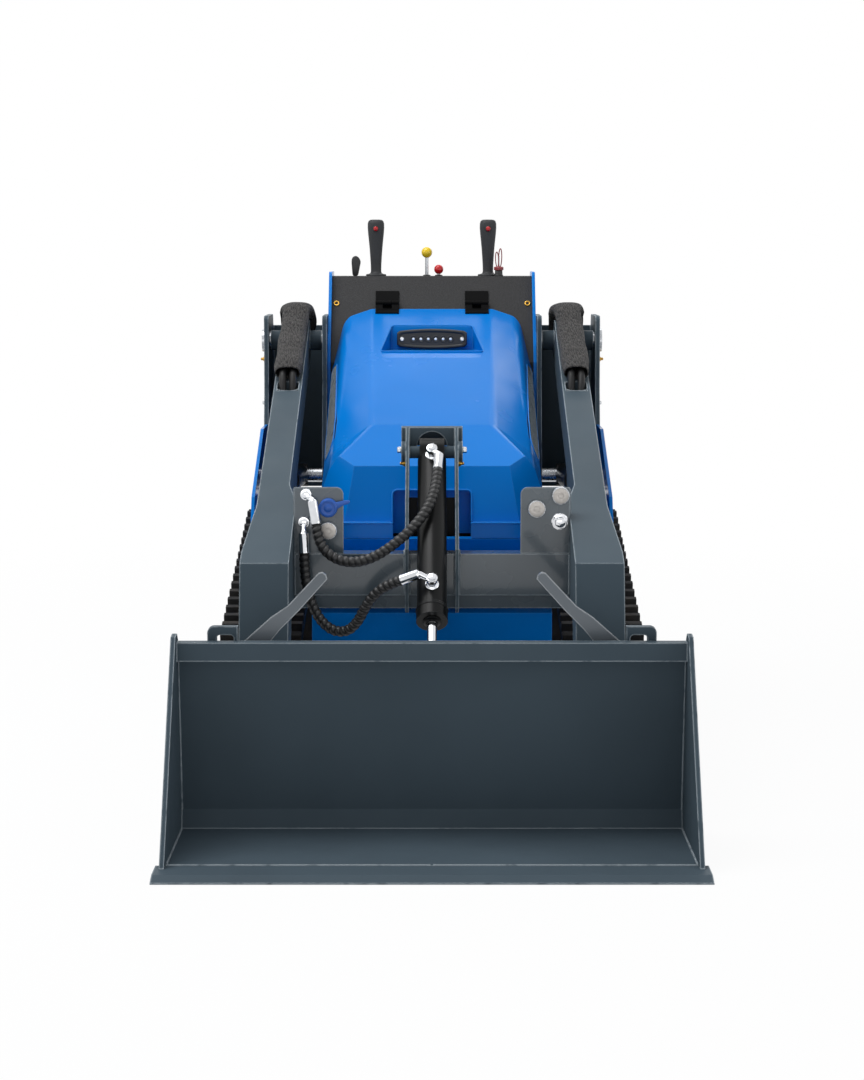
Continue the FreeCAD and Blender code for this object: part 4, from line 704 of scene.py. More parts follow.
def lathe(form, profile, place, direction, steps):
    """(radius, height) steps in millimetres turned about a line."""
    at = frame_at(place, direction)
    rings = [[form.verts.new(at @ mm(x, y, height)) for x, y in (circle(radius, steps) if radius else [(0, 0)])]
             for radius, height in profile]
    join_rings(form, rings)
    for end in (rings[0], rings[-1]):
        if len(end) > 1:
            form.faces.new(end)


def stack(form, outlines):
    """Outlines of equal counts joined one to the next and closed at both ends."""
    rings = [[form.verts.new(point) for point in outline] for outline in outlines]
    join_rings(form, rings)
    form.faces.new(rings[0][::-1])
    form.faces.new(rings[-1])


def eased_line(points, reach, steps=6, closed=False, most=0.47):
    """A line through points whose turns are rounded, each over at most a share of its sides."""
    result = []
    count = len(points)
    for index, corner in enumerate(points):
        corner = Vector(corner)
        if not closed and index in (0, count - 1):
            result.append(corner)
            continue
        before = Vector(points[index - 1]) - corner
        after = Vector(points[(index + 1) % count]) - corner
        span = min(reach, before.length * most, after.length * most)
        start, end = corner + before.normalized() * span, corner + after.normalized() * span
        for step in range(steps + 1):
            t = step / steps
            result.append(start * (1 - t) ** 2 + corner * 2 * t * (1 - t) + end * t ** 2)
    return result


def rounded_outline(points, radius, steps=5):
    return eased_line(points, radius, steps, True, 0.48)


def sweep(form, line, section, closed=False, caps=True):
    """Rings along a line: section(share along) gives each ring as (across, over) pairs."""
    count = len(line)
    line = [Vector(p) for p in line]
    rings = []
    side = None
    for index, place in enumerate(line):
        if closed:
            ahead = line[(index + 1) % count] - line[index - 1]
        else:
            ahead = line[min(index + 1, count - 1)] - line[max(index - 1, 0)]
        ahead.normalize()
        if side is None:
            side = Vector((1, 0, 0)) if abs(ahead.x) < 0.8 else Vector((0, 1, 0))
        side = (side - ahead * side.dot(ahead)).normalized()
        over = ahead.cross(side)
        rings.append([form.verts.new(place + side * a + over * b) for a, b in section(index / max(count - 1, 1))])
    join_rings(form, rings + rings[:1] if closed else rings)
    if caps and not closed:
        form.faces.new(rings[0][::-1])
        form.faces.new(rings[-1])


def square_round(across, over, power):
    """How far a squarish round reaches in a direction."""
    return (abs(across) ** power + abs(over) ** power) ** (-1 / power)


def round_section(radius, steps, taper=None):
    """A circle for each share of a sweep, as wide as the taper says."""
    return lambda share: circle(radius * (taper(share) if taper else 1.0), steps)


def bead(form, points, radius, steps, reach=0.0, turns=6, closed=False):
    """A round bead along a line with eased turns."""
    line = eased_line(points, reach, turns, closed) if reach else points
    sweep(form, line, round_section(radius, steps), closed)


def shrunk(outline, by):
    """A convex outline drawn in towards its middle."""
    middle = sum(outline, Vector((0, 0, 0))) / len(outline)
    arms = [point - middle for point in outline]
    return [middle + arm * max(0.0, 1 - by / max(arm.length, 1e-9)) for arm in arms]


def pillow(form, outline, push, ease):
    """A flat outline thickened along a vector, with its edges eased."""
    push = Vector(push)
    step = push.normalized() * ease
    inner = shrunk(outline, ease)
    middle = shrunk(outline, ease * 0.3)
    stack(form, [inner, [p + step * 0.3 for p in middle], [p + step for p in outline],
                 [p + push - step for p in outline], [p + push - step * 0.3 for p in middle],
                 [p + push for p in inner]])


def hexagon(form, place, direction, across, height, spin=0.0):
    """A hexagon nut or bolt head, its size in metres, with its corners turned down."""
    at = frame_at(place, direction, spin)
    corner = across / 2 / math.cos(math.pi / 6)
    levels = ((corner, 0), (corner, height * 0.88), (corner * 0.88, height))
    stack(form, [[at @ Vector((x, y, rise)) for x, y in circle(radius, 6)] for radius, rise in levels])


# ---- Hood: lamp, beads and grilles ----

# millimetres: the stations of the hood's front, break and rear, and the line of its top
HOOD_FRONT, HOOD_BREAK, HOOD_REAR = -132, 48, 738
HOOD_HEIGHT = 706
HOOD_SLOPE = 0.4147
HOOD_RISE = 8
NOTCH_FOOT = 580


def hood_top(y):
    """The height of the hood's top in millimetres at a station: two planes that meet at a slight break."""
    if y < HOOD_BREAK:
        share = (y - HOOD_FRONT) / (HOOD_BREAK - HOOD_FRONT)
    else:
        share = (HOOD_REAR - y) / (HOOD_REAR - HOOD_BREAK)
    return HOOD_HEIGHT + HOOD_SLOPE * (y - HOOD_FRONT) + HOOD_RISE * share


def hood_beads():
    """The raised beads round the lamp's recess and the notch."""
    form = bmesh.new()
    recess = [(-132, 441, -1.5), (132, 441, -1.5), (105, 587, 0.4), (-105, 587, 0.4)]
    bead(form, [mm(x, y, hood_top(y) + proud) for x, y, proud in recess], 0.0026, 8, 0.012, closed=True)
    notch = ((-92, 581), (-92, 652), (92, 652), (92, 581))
    bead(form, [mm(x, -167 + (z - NOTCH_FOOT) * 47 / 168 - 0.4, z) for x, z in notch], 0.0024, 8, 0.014)
    for side in (-1, 1):
        bead(form, [mm(side * x, -196.4, NOTCH_FOOT) for x in (93, 214)], 0.0018, 8)
    made("hood_beads", form, BLUE, "hood", 50)


def hood_lamp():
    """A bar lamp: a housing with bowed edges, six small lenses and a screw at each end."""
    low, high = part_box("work_lamp")
    middle_z = (low[2] + high[2]) / 2
    back = high[1]
    half, end_half, bow = 0.0905, 0.0195, 0.0060
    steps = 12

    def bowed(inset, y):
        """The lamp's outline: long edges that bow outward and corners cut back."""
        points = []
        for sign in (1, -1):
            for step in range(-steps, steps + 1):
                x = (half - inset) * step / steps * sign
                tall = end_half + bow * (1 - (x / half) ** 2) - inset
                if abs(step) == steps:
                    tall -= 0.004
                points.append(Vector((x, y, middle_z + sign * tall)))
        return points

    lenses = [-0.048 + 0.0192 * i for i in range(6)]
    form = bmesh.new()
    stack(form, [bowed(0.001, back), bowed(0, back - 0.002), bowed(0, back - 0.021), bowed(0.0012, back - 0.0235),
                 bowed(0.0035, back - 0.0245), bowed(0.0060, back - 0.0240), bowed(0.0085, back - 0.0215)])
    for x in lenses:
        lathe(form, [(8.8, 0), (8.8, 2), (7.6, 2.6), (5.8, 1), (0, 0.6)], (x, back - 0.0212, middle_z), AHEAD, 20)
    made("lamp_housing", form, PLASTIC, "hood", 35, ("work_lamp",))
    form = bmesh.new()
    for x in lenses:
        lathe(form, [(3.4, 0), (3.4, 0.8), (2.2, 2.2), (0, 2.7)], (x, back - 0.0219, middle_z), AHEAD, 14)
    made("lamp_lenses", form, LED, "hood", 50)
    spots = [((x, back - 0.0235, middle_z), AHEAD, 0.0085) for x in (-0.0775, 0.0775)]
    grown("lamp_screws", point_cloud("lamp_screw_spots", spots), BOLTS, STEEL, "hood", "bare_steel", 30)


def side_grilles():
    """Woven wire over the leaf-shaped openings of the hood's sides."""
    # distance behind the hood's front, fall of the opening's top below the hood's, and its height
    stations = [(218, 80, 24), (242, 61, 48), (318, 55, 57), (482, 60, 53), (650, 70, 43), (698, 102, 12)]

    def opening(y):
        """How far the opening's top is below the hood's, and how tall the opening is."""
        run = y - HOOD_FRONT
        for (a, fall_a, tall_a), (b, fall_b, tall_b) in zip(stations, stations[1:]):
            if a <= run <= b:
                t = (run - a) / (b - a)
                return fall_a + (fall_b - fall_a) * t, tall_a + (tall_b - tall_a) * t
        return stations[-1][1:]

    def wall(y, fall):
        """The half width of the hood at a depth below its top."""
        rear = max(0.0, (y - HOOD_BREAK) / (HOOD_REAR - HOOD_BREAK))
        front = max(0.0, (HOOD_BREAK - y) / 138)
        corner = 238 - 10 * rear + 4 * front
        first = 66 - 55 * rear - 30 * front
        skirt = 115 + 3 * rear - 23 * front
        return corner + (260 - corner) * min(1.0, max(0.0, (fall - first) / (skirt - first)))

    lines = bmesh.new()
    columns, rows = 96, 8
    for _, side in SIDES:
        grid = {}
        for i in range(columns + 1):
            y = 87 + 478 * i / columns
            fall, tall = opening(y)
            for j in range(rows + 1):
                if (i + j) % 2:
                    continue
                depth = fall + tall * j / rows
                grid[i, j] = lines.verts.new(mm(side * (wall(y, depth) + 1.1), y, hood_top(y) - depth))
        for (i, j), vert in grid.items():
            for other in ((i + 1, j + 1), (i + 1, j - 1)):
                if other in grid:
                    lines.edges.new((vert, grid[other]))
    grown("grille_wire", as_mesh("grille_lines", lines), WIRE, SLATE, "hood", "black_paint", 60, Wire=0.00085)
    form = bmesh.new()
    for _, side in SIDES:
        above, below = [], []
        for step in range(61):
            y = 86 + 480 * step / 60
            fall, tall = opening(y)
            for edge, depth in ((above, fall - 1), (below, fall + tall + 1)):
                edge.append(mm(side * (wall(y, depth) + 0.6), y, hood_top(y) - depth))
        bead(form, above + below[::-1], 0.0016, 6, closed=True)
    made("grille_beads", form, BLUE, "hood", 60)


# ---- Operator's station ----

PANEL_LEAN = (0.8458, 0.5334)
CONSOLE_TOP = 1132
LEVERS_Y = 806
BUTTON_HEIGHT = 1257.6
KEY_X, KEY_FOOT = 178, 1156


def console_inserts():
    """Brass inserts on the console's front, each with a near-black disc in its socket as painted shade."""
    out = (0, -PANEL_LEAN[0], PANEL_LEAN[1])
    rings, sockets = forms(2)
    for _, side in SIDES:
        place = mm(side * 252.5, 703.3, 1061.1)
        lathe(rings, [(8.2, 0), (8.2, 1.2), (7.2, 2.6), (5.6, 3), (4.4, 2.2), (3.8, 0.6)], place, out, 28)
        lathe(sockets, [(4, 0), (4, 0.9), (0, 1)], place, out, 18)
    made("console_inserts", rings, BRASS, "chassis", 50)
    made("insert_socket_shade", sockets, SOCKET_SHADE_BLACK, "chassis", 50)


def hinge_backs():
    """A thin black plate behind each hinge's knuckles, on the console's face."""
    form = bmesh.new()
    for x in (-118, 118):
        up, out = PANEL_LEAN
        at = Matrix(((1, 0, 0, x * MM), (0, out, -up, 0.70110), (0, up, out, 1.05816), (0, 0, 0, 1)))
        outline = rounded_outline([mm(-31, -14, 0), mm(31, -14, 0), mm(31, 8.5, 0), mm(-31, 8.5, 0)], 0.001)
        stack(form, [[at @ (point + mm(0, 0, rise)) for point in outline] for rise in (0, 0.9)])
    made("hinge_backs", form, HINGE_BLACK, "chassis", 35)


def drive_grips():
    """Two hand grips: waisted, flat-fronted, on a round flange, with a red button."""
    # height, half width, half depth, shift to the rear
    steps = [(4, 15.5, 15.5, 0), (8, 14.6, 14, 0), (14, 13.9, 13.2, 0), (30, 14.3, 13.8, 0), (52, 15.6, 14.8, 0),
             (74, 17.2, 16.0, 0.4), (95, 19.2, 17.3, 0.6), (112, 21.0, 18.2, 0.6), (128, 22.2, 18.6, 0.4),
             (139, 22.0, 18.2, 0.2), (146, 20.0, 16.4, 0), (149.4, 15.8, 12.8, 0), (150.2, 9, 7.5, 0)]
    bodies, buttons, bezels = forms(3)
    for x in (-150, 150):
        rings = []
        for rise, wide, deep, back in steps:
            ring = []
            for c, s in circle(1, 36):
                reach = square_round(c, s, 2.6)
                swell = 1.3 * math.sin(rise * 2 * math.pi / 27) if s > 0.25 and 24 < rise < 132 else 0
                ring.append(mm(x + wide * reach * c, LEVERS_Y + back + (deep + swell) * reach * s,
                               CONSOLE_TOP + rise))
            rings.append(ring)
        stack(bodies, rings)
        lathe(bodies, [(27, 0), (27.2, 2.6), (26.2, 4.6), (20, 5.6), (16, 7.4), (14, 11)],
              mm(x, LEVERS_Y, CONSOLE_TOP + 0.2), UP, 40)
        lathe(bezels, [(8, 0), (8, 1.6), (6.8, 2.4), (6, 1.6)], mm(x, 787.6, BUTTON_HEIGHT), AHEAD, 28)
        lathe(buttons, [(6.4, 0), (6.2, 3), (5.2, 4.8), (2.8, 5.8), (0, 6)], mm(x, 787.8, BUTTON_HEIGHT), AHEAD, 26)
    made("grip_bodies", bodies, GRIP, "chassis", 35, ("drive_grips",))
    made("grip_bezels", bezels, PLASTIC, "chassis", 50)
    made("grip_buttons", buttons, RED, "chassis", 50)


def knob_levers():
    """A tall lever with a yellow knob and a short one with a red knob."""
    stems, yellow, red, seals = forms(4)
    tall_x, short_x = -14, 18
    for x, radius, rise in ((tall_x, 4.5, 52), (short_x, 4.0, 10)):
        lathe(stems, [(radius, 0), (radius, rise)], mm(x, LEVERS_Y, CONSOLE_TOP + 0.5), UP, 24)
        lathe(seals, [(10.5, 0), (10.5, 1.8), (8.5, 3.4), (radius + 0.6, 4)], mm(x, LEVERS_Y, CONSOLE_TOP), UP, 28)
    for form, x, centre, radius in ((yellow, tall_x, 63, 14.5), (red, short_x, 18, 12.5)):
        profile = [(5.4, -radius * 0.96)]
        for step in range(1, 17):
            angle = math.pi * (step / 17 - 0.5)
            if math.sin(angle) > -0.93:
                profile.append((radius * math.cos(angle), radius * math.sin(angle)))
        profile.append((0, radius))
        lathe(form, profile, mm(x, LEVERS_Y, CONSOLE_TOP + centre), UP, 36)
    made("lever_stems", stems, STEM, "chassis", 50, ("ball_levers",))
    made("lever_seals", seals, PLASTIC, "chassis", 50)
    made("yellow_knob", yellow, YELLOW, "chassis", 60)
    made("red_knob", red, RED, "chassis", 60)


def throttle_and_key():
    """A flat throttle lever, and a key with two loops of ring in a switch with a red collar."""
    form = bmesh.new()
    paddle = ((-213, 0), (-198.5, 0), (-190.5, 39), (-196, 50), (-205, 55), (-214.5, 49), (-216, 38))
    outline = rounded_outline([mm(x, 801, CONSOLE_TOP + rise) for x, rise in paddle], 0.006)
    pillow(form, outline, (0, 0.0095, 0), 0.0022)
    made("throttle_paddle", form, PLASTIC, "chassis", 40, ("throttle_lever",))

    body, collar, loops, blade = forms(4)
    lathe(body, [(12, 0), (12.2, 3), (10.4, 4.2), (10, 15), (9.2, 16), (0, 16.2)], mm(KEY_X, 772, CONSOLE_TOP), UP, 32)
    lathe(collar, [(9.8, 0), (12.8, 1.2), (13, 7.8), (10.8, 9.8), (0, 10)], mm(KEY_X, 772, CONSOLE_TOP + 15.5), UP, 32)
    for shift, lean, tall in ((-3.5, -2.0, 40), (3.0, 1.5, 49)):
        ring = []
        for step in range(28):
            angle = 2 * math.pi * step / 28
            high = tall / 2 * (1 - math.cos(angle))
            ring.append(mm(KEY_X + shift + lean * high / tall + 4.2 * math.sin(angle), 770 + shift * 0.6,
                           KEY_FOOT + high))
        bead(loops, ring, 0.0014, 7, closed=True)
    corners = [mm(KEY_X + x, 771, KEY_FOOT + rise) for x, rise in ((-2.5, 0), (2.5, 0), (2.5, 30), (-2.5, 30))]
    pillow(blade, rounded_outline(corners, 0.0015, 3), (0, 0.0020, 0), 0.0005)
    made("key_switch_body", body, PLASTIC, "chassis", 40, ("key_switch",))
    made("key_collar", collar, KEY_RED, "chassis", 40)
    made("key_loops", loops, KEY_RED, "chassis", 60)
    made("key_blade", blade, STEEL, "chassis", 30)


CUSHION_SEAMS = (-0.077, 0.077)
CUSHION_CROWN = 0.0062
CUSHION_ROUND = 0.022


def thigh_cushion():
    """A vinyl pad: crowned, drawn in between its corners, with two sewn channels and piping."""
    low, high = (Vector(c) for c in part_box("thigh_pad"))
    middle = (low + high) / 2
    half = (high - low) / 2
    flat = half - Vector((CUSHION_ROUND,) * 3)
    form = bmesh.new()
    bmesh.ops.create_cube(form, size=2.0)
    bmesh.ops.subdivide_edges(form, edges=form.edges[:], cuts=31, use_grid_fill=True)
    for vert in form.verts:
        u, w, v = vert.co
        rim = Vector((u ** 7, w ** 7, v ** 7))
        place = Vector((u * flat.x, w * flat.y, v * flat.z)) + rim.normalized() * CUSHION_ROUND
        if w > -0.98:
            seam = sum(math.exp(-((place.x - s) / 0.006) ** 2) for s in CUSHION_SEAMS)
            crown = (1 - u * u) * (1 - v * v)
            place.y -= (CUSHION_CROWN * (1 - crown) + 0.0045 * seam * (1 - v ** 6)) * max(0.0, w)
            place.x *= 1 - 0.008 * (1 - v * v)
            place.z *= 1 - 0.020 * (1 - u * u)
        vert.co = middle + place
    pad = made("thigh_cushion", form, VINYL, "chassis", 80, ("thigh_pad",))
    welt = bmesh.new()
    inset = 0.010
    edge = [(x * (half.x - inset), high.y - 0.0175, middle.z + z * (half.z - inset))
            for x, z in ((-1, -1), (1, -1), (1, 1), (-1, 1))]
    bead(welt, edge, 0.0024, 8, 0.02, closed=True)
    made("cushion_piping", welt, PLASTIC, "chassis", 60)
    form = bmesh.new()
    dash = 0.0052
    for x in CUSHION_SEAMS:
        z = low.z + 0.012
        while z < high.z - 0.012:
            share = (z - middle.z) / half.z
            y = high.y - CUSHION_CROWN * (1 - (1 - (x / half.x) ** 2) * (1 - share ** 2)) - 0.0042
            bead(form, [(x, y, z), (x, y + 0.0004, z + dash / 2), (x, y, z + dash * 0.7)], 0.0006, 5)
            z += dash
    made("cushion_stitches", form, THREAD, "chassis", 60)


# ---- Sleeves over the arms' hoses ----

SLEEVE_GIRTH = 0.172
SLEEVE_STEPS = 56
SLEEVE_RISE = 22.7
PIN_Y = 634
ARM_HIGH = 1019
ARM_SLOPE = 0.36484


def arm_top(y):
    """The height of the lift arm's top face in millimetres at a station."""
    return ARM_HIGH - ARM_SLOPE * (PIN_Y - y)


def cut_fine(line, run):
    """A line with more points, at most about a run apart."""
    fine = []
    for a, b in zip(line, line[1:]):
        parts = max(1, round((b - a).length / run))
        fine += [a + (b - a) * i / parts for i in range(parts)]
    return fine + [line[-1]]


def sleeve_girth(side):
    """The sleeve's rings: squarish, flared and curled over the hub, drawn in at the end."""
    def ring_at(share):
        flare = max(0.0, min(1.0, (share + 0.12) / 0.26, (0.33 - share) / 0.09))
        flare = flare * flare * (3 - 2 * flare)
        wide = 34.0 + 12.5 * flare + 0.9 * math.sin(share * 23 + side)
        thick = 19.0 + 0.7 * math.sin(share * 31 + 2 * side)
        if share > 0.94:
            wide -= (share - 0.94) * 60
            thick -= (share - 0.94) * 40
        ring = []
        for i, (c, s) in enumerate(circle(1, SLEEVE_STEPS)):
            a = 2 * math.pi * i / SLEEVE_STEPS
            reach = square_round(c, s, 2.5)
            fold = 1 + 0.018 * math.sin(3 * a + share * 17) + 0.010 * math.sin(7 * a - share * 41)
            curl = -0.30 * flare * abs(c) ** 5
            ring.append((wide * MM * reach * c * fold, thick * MM * reach * (s * fold + curl)))
        return ring
    return ring_at


def lay_weave(mesh, length, rows):
    """A UV map that runs round the sleeve and along it, in metres."""
    layer = mesh.uv_layers.new(name="weave")
    for polygon in mesh.polygons:
        columns = [mesh.loops[k].vertex_index % SLEEVE_STEPS for k in polygon.loop_indices]
        for corner, column in zip(polygon.loop_indices, columns):
            row = mesh.loops[corner].vertex_index // SLEEVE_STEPS
            if column == 0 and SLEEVE_STEPS - 1 in columns:
                column = SLEEVE_STEPS
            layer.data[corner].uv = (SLEEVE_GIRTH * column / SLEEVE_STEPS, length * row / rows)


def arm_sleeves():
    """A braided sleeve over each arm's hub, flared where it turns over."""
    for name, side in SIDES:
        raw = [(355, 718, 962), (353, 712, 1011), (353, 678, 1043), (353, 626, 1050)]
        raw += [(x, y, arm_top(y) + SLEEVE_RISE) for x, y in ((355, 520), (356, 380), (356, 250))]
        line = cut_fine(eased_line([mm(side * x, y, z) for x, y, z in raw], 0.052, 9), 0.006)
        length = sum((b - a).length for a, b in zip(line, line[1:]))
        form = bmesh.new()
        sweep(form, line, sleeve_girth(side), caps=False)
        mesh = as_mesh("arm_sleeve_" + name, form)
        lay_weave(mesh, length, len(line) - 1)
        sleeve = piece("arm_sleeve_" + name, mesh, NYLON, "arms", 80)
        wall = sleeve.modifiers.new("wall", "SOLIDIFY")
        wall.thickness = 0.0014
        wall.offset = -1
        if side > 0:
            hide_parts("hose_sleeves")


def sleeve_hoses():
    """The hoses that leave each sleeve for the hole in the arm's top, and the hole's rim."""
    form = bmesh.new()
    front = ((356, 276, SLEEVE_RISE), (356, 244, 20), (355, 228, 1), (354, 218, -28))
    for _, side in SIDES:
        for across in (-13, 12):
            route = [mm(side * (x + across), y, arm_top(y) + rise) for x, y, rise in front]
            bead(form, route, 0.0090, 16, 0.016)
            bead(form, [mm(side * (353 + across), y, z) for y, z in ((716, 985), (720, 950))], 0.0090, 16)
    made("sleeve_hoses", form, HOSE, "arms", 60)
    form = bmesh.new()
    for _, side in SIDES:
        rim = [mm(side * x, y, arm_top(y) + 0.2) for x, y in ((327, 199), (381, 199), (381, 253), (327, 253))]
        bead(form, rim, 0.0014, 6, 0.02, 8, closed=True)
    made("hole_rims", form, SLATE, "arms", 60)


# ---- Couplings and hose ends ----

PLATE_FACE = -448
TILT_RUN, TILT_OUT = (0, -0.71684, -0.69724), (0, -0.69724, 0.71684)
LIFT_RUN = (0, -0.99771, 0.06764)


def coupler_faces():
    """Flat-faced couplings, a capped one and a hexagon plug on the plates."""
    shells, faces, plug, cap = forms(4)
    for x, z in ((229, 642), (281, 671), (-227, 594)):
        place = mm(x, PLATE_FACE, z)
        lathe(shells, [(18.8, 0), (18.8, 6), (19.4, 7), (19.4, 19.5), (18.4, 21.2), (17.2, 21.4), (17, 20.4),
                       (0, 20.2)], place, AHEAD, 44)
        lathe(faces, [(16.8, 20.3), (16.8, 21.4), (16, 21.8), (6.8, 21.9), (6.6, 21.3), (5.8, 21.3), (5.6, 21.9),
                      (0, 22)], place, AHEAD, 44)
    place = mm(280, PLATE_FACE, 613)
    lathe(plug, [(18.5, 0), (18.5, 2.2), (17.6, 2.8), (0, 2.9)], place, AHEAD, 40)
    hexagon(plug, place + mm(0, -2.6, 0), AHEAD, 0.0305, 0.014, 0.26)
    lathe(plug, [(11.6, 15), (11.6, 20), (10.4, 22.2), (7, 23.4), (0, 23.8)], place, AHEAD, 32)
    place = mm(-227, PLATE_FACE, 644)
    lathe(cap, [(19.6, 0), (20.5, 2), (20.5, 18), (19, 20.8), (15, 21.6), (14.2, 20.4), (9, 20.2), (8, 21.2),
                (0, 21.6)], place, AHEAD, 44)
    strap = [(-214, 656), (-211, 640), (-196, 649), (-182, 654), (-178, 658), (-182, 662), (-197, 660)]
    pillow(cap, rounded_outline([mm(x, -465, z) for x, z in strap], 0.005, 4), (0, -0.0030, 0), 0.0008)
    made("coupler_shells", shells, STEEL, "arms", 40, ("hydraulic_couplers",))
    made("coupler_faces", faces, FACE, "arms", 40)
    made("coupler_plug", plug, CHROME, "arms", 30)
    made("coupler_cap", cap, CAP_BLUE, "arms", 45)


def hose_end_pieces(form, seat, out, route, length):
    """A hose's end: an eye bolted to its seat, a neck and a ferrule crimped on the hose."""
    seat, out = mm(*seat), Vector(out)
    first, second = mm(*route[0]), mm(*route[1])
    run = (second - first).normalized()
    start = first - run * (length - 1) * MM
    hexagon(form, seat, out, 0.0225, 0.0070)
    lathe(form, [(8.5, 6), (8.5, 11), (11.8, 11.8), (12.6, 13.5), (12.6, 21.5), (11.8, 23.2), (9, 23.6)],
          seat, out, 36)
    hexagon(form, seat + out * 0.0234, out, 0.0165, 0.0052, 0.3)
    middle = seat + out * 0.0175
    neck = [middle, middle + (start - middle) * 0.45 + run * 0.002, start, start + run * 0.008]
    sweep(form, eased_line(neck, 0.008), round_section(0.0062, 20, lambda share: 1 + 0.16 * share))
    span = (first - start).length / MM
    lathe(form, [(7, -1.5), (10.4, 1.5), (11, 4), (11, span * 0.86), (11.7, span * 0.90), (11.7, span * 0.985),
                 (10.6, span)], start, run, 40)


def hose_ends():
    """The hoses' ends at the left-hand plate and at the barrel's two ports."""
    form = bmesh.new()
    hose_end_pieces(form, (-275, PLATE_FACE, 674), AHEAD, UPPER_HOSE, 54)
    hose_end_pieces(form, (-280, PLATE_FACE, 613), AHEAD, LOWER_HOSE, 46)
    made("plate_hose_ends", form, CHROME, "arms", 35)
    along, out = Vector(TILT_RUN), Vector(TILT_OUT)
    form = bmesh.new()
    for station, route, length in ((34, UPPER_HOSE[::-1], 45.4), (400, LOWER_HOSE[::-1], 43.4)):
        seat = Vector((0, *TILT_BASE)) + along * station + out * 31
        first, second = Vector(route[0]), Vector(route[1])
        route = [first - (second - first).normalized() * 0.6, second]
        lathe(form, [(15, -3), (15, 1.2), (13.8, 2.2)], seat * MM, out, 28)
        hose_end_pieces(form, seat, out, route, length)
    made("barrel_hose_ends", form, CHROME, "tilt_cylinder", 35, ("barrel_fittings",))


# ---- Bolts, nipples and welds ----

IDLER, REAR_WHEEL, SPROCKET = (-332, 188), (505, 122), (428, 378)
BUCKET_PIN = (-714, 165)
SPROCKET_BOLTS = 37
TOWER_FACE, WHEEL_FACE, SPROCKET_FACE = 436.2, 434.2, 430.2
ARM_INNER, CHEEK_INNER = 301.5, 519.6


def bolt_sets():
    """Bolts of the towers, sprockets, wheels, rollers and pins, each on its body."""
    sets = {"chassis": [], "arms": [], "bucket": []}
    for _, side in SIDES:
        out = (side, 0, 0)
        for y, z in ((590, 806), (744, 806), (590, 700), (744, 640)):
            sets["chassis"].append((mm(side * TOWER_FACE, y, z), out, 0.008))
        for ahead, over in circle(SPROCKET_BOLTS, 8):
            sets["chassis"].append((mm(side * SPROCKET_FACE, SPROCKET[0] + ahead, SPROCKET[1] + over), out, 0.012))
        for centre in (IDLER, REAR_WHEEL):
            sets["chassis"].append((mm(side * WHEEL_FACE, *centre), out, 0.030))
        first, last = IDLER[0] + 215, REAR_WHEEL[0] - 150
        for number in range(4):
            sets["chassis"].append((mm(side * WHEEL_FACE, first + (last - first) / 3 * number, 95), out, 0.022))
        sets["arms"].append((mm(side * 69.2, -292, 757), out, 0.012))
        sets["arms"].append((mm(side * 406.3, *BUCKET_PIN), out, 0.020))
        sets["arms"].append((mm(side * ARM_INNER, *BUCKET_PIN), (-side, 0, 0), 0.014))
        sets["bucket"].append((mm(side * 44.2, *TILT_EYE), out, 0.015))
    for body, spots in sets.items():
        name = body + "_bolts"
        grown(name, point_cloud(name + "_spots", spots), BOLTS, STEEL, body, "bare_steel", 30)


def grease_nipples():
    """Brass nipples at the pins."""
    for body, spots in (("chassis", [((s * TOWER_FACE, PIN_Y, 918), (s, 0, 0)) for s in (1, -1)]),
                        ("arms", [((-59.2, -300, 727), (-1, 0, 0)), ((59.2, -300, 727), (1, 0, 0))])):
        form = bmesh.new()
        for place, out in spots:
            hexagon(form, mm(*place), out, 0.0125, 0.0055)
            lathe(form, [(4.4, 5.5), (4.4, 8), (2.7, 9), (3.8, 10.6), (3.5, 12), (1.4, 13), (0, 13.1)],
                  mm(*place), out, 18)
        made(body + "_nipples", form, BRASS, body, 45)


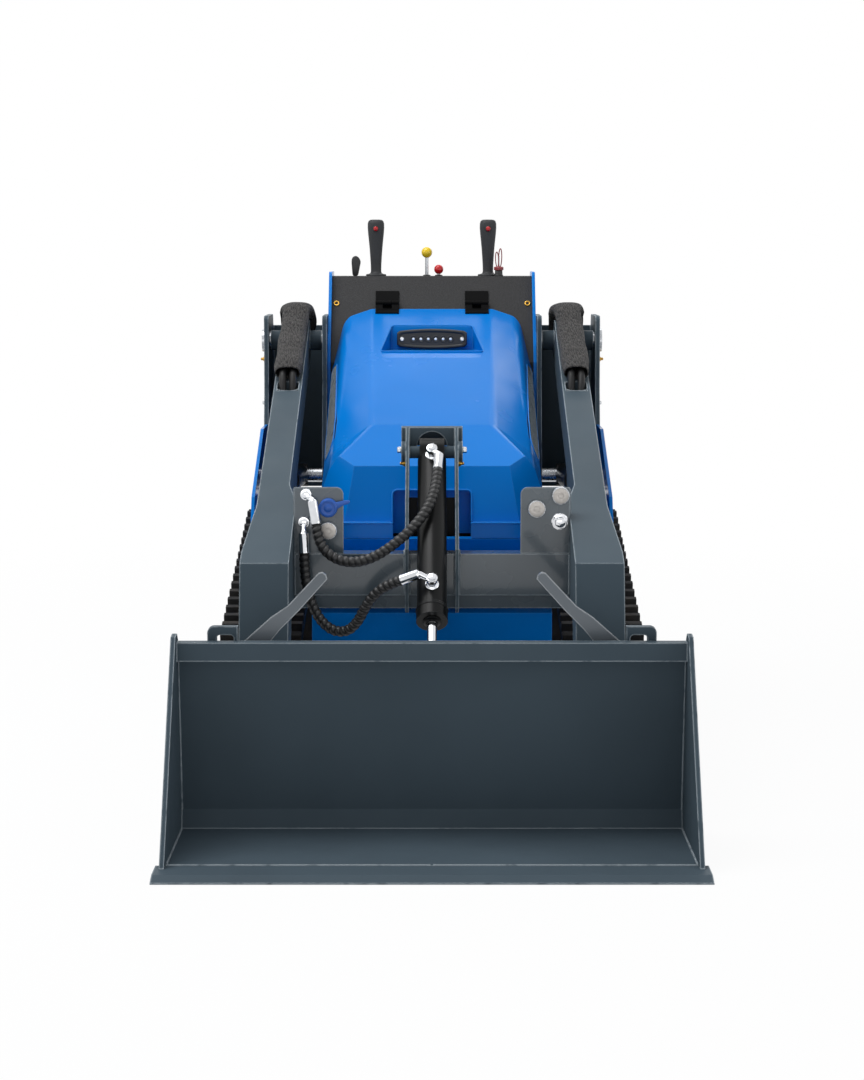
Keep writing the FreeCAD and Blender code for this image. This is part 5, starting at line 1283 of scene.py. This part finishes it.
def weld_beads():
    """The welds that show on the arms' cross tube and plates, the bucket and the towers."""
    arms_lines, bucket_lines, chassis_lines = [], [], []
    for _, side in SIDES:
        arms_lines += [[mm(side * ARM_INNER, -452.5, z) for z in (452, 540)],
                       [mm(side * ARM_INNER, y, 542.5) for y in (-450, -394)],
                       [mm(side * 60, -452.3, z) for z in (452, 540)],
                       [mm(side * 50, -452.3, z) for z in (452, 540)],
                       [mm(side * 60, y, 542.4) for y in (-450, -394)],
                       [mm(side * x, -440.2, 542.6) for x in (196, 300)],
                       [mm(side * 302.2, -440, z) for z in (545, 684)]]
        bucket_lines += [[mm(side * CHEEK_INNER, y, 12.4) for y in (-1100, -812)],
                         [mm(side * CHEEK_INNER, *place) for place in ((-793, 51), (-824, 368))],
                         [mm(side * x, -1102.4, 12.2) for x in (2, 519)]]
        for x in (299, 287, 409, 421):
            bucket_lines.append([mm(side * x, *place) for place in ((-780, 132), (-786, 240))])
        for x in (23.5, 36.5):
            bucket_lines.append([mm(side * x, *place) for place in ((-793, 284), (-803, 366))])
        chassis_lines += [[mm(side * 274, y, 586.6) for y in (648, 780)],
                          [mm(side * 264.6, 642, z) for z in (424, 584)],
                          [mm(side * x, 524, 587) for x in (287, 422)]]
    for body, lines in (("arms", arms_lines), ("bucket", bucket_lines), ("chassis", chassis_lines)):
        name = body + "_welds"
        grown(name, curve_data(name + "_lines", lines), WELD, SLATE, body, "slate", 50, Radius=0.0028)


def platform_treads():
    """Raised studs on the operator's step."""
    sheet_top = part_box("platform_step")[1][2] - 0.0079
    left, front, wide, deep = -0.216, 0.902, 0.432, 0.262
    rows, columns = 11, 16
    spots = []
    for i in range(columns):
        for j in range(rows):
            place = (left + wide * i / (columns - 1), front + deep * j / (rows - 1), sheet_top)
            spots.append((place, UP, math.pi / 4 if (i + j) % 2 else -math.pi / 4))
    grown("platform_studs", point_cloud("stud_spots", spots), STUDS, BLACK, "platform", "black_paint", 50)


def rod_seals():
    """A scraper ring where each rod leaves its barrel, and a band round the barrel's end."""
    for name, x, base, run, length, radius, barrel, body in (
            ("tilt_scraper", 0, TILT_BASE, TILT_RUN, 476, 11.3, 34.2, "tilt_cylinder"),
            ("lift_scraper_right", 354, LIFT_BASE, LIFT_RUN, 480, 17.3, 35.2, "lift_cylinder_right"),
            ("lift_scraper_left", -354, LIFT_BASE, LIFT_RUN, 480, 17.3, 35.2, "lift_cylinder_left")):
        form = bmesh.new()
        place = mm(*(Vector((x, *base)) + Vector(run) * length))
        lathe(form, [(radius + 8.5, 0), (radius + 8.5, 2), (radius + 6, 4.5), (radius + 0.8, 5.2), (radius + 0.4, 1)],
              place, run, 40)
        lathe(form, [(barrel, -30), (barrel + 0.8, -28.5), (barrel + 0.8, -26.2), (barrel, -25)], place, run, 48)
        made(name, form, BLACK, body, 40)


for build in (
        hood_beads, hood_lamp, side_grilles, console_inserts, hinge_backs, drive_grips, knob_levers,
        throttle_and_key, thigh_cushion, arm_sleeves, sleeve_hoses, coupler_faces, hose_ends, bolt_sets,
        grease_nipples, weld_beads, platform_treads, rod_seals):
    build()
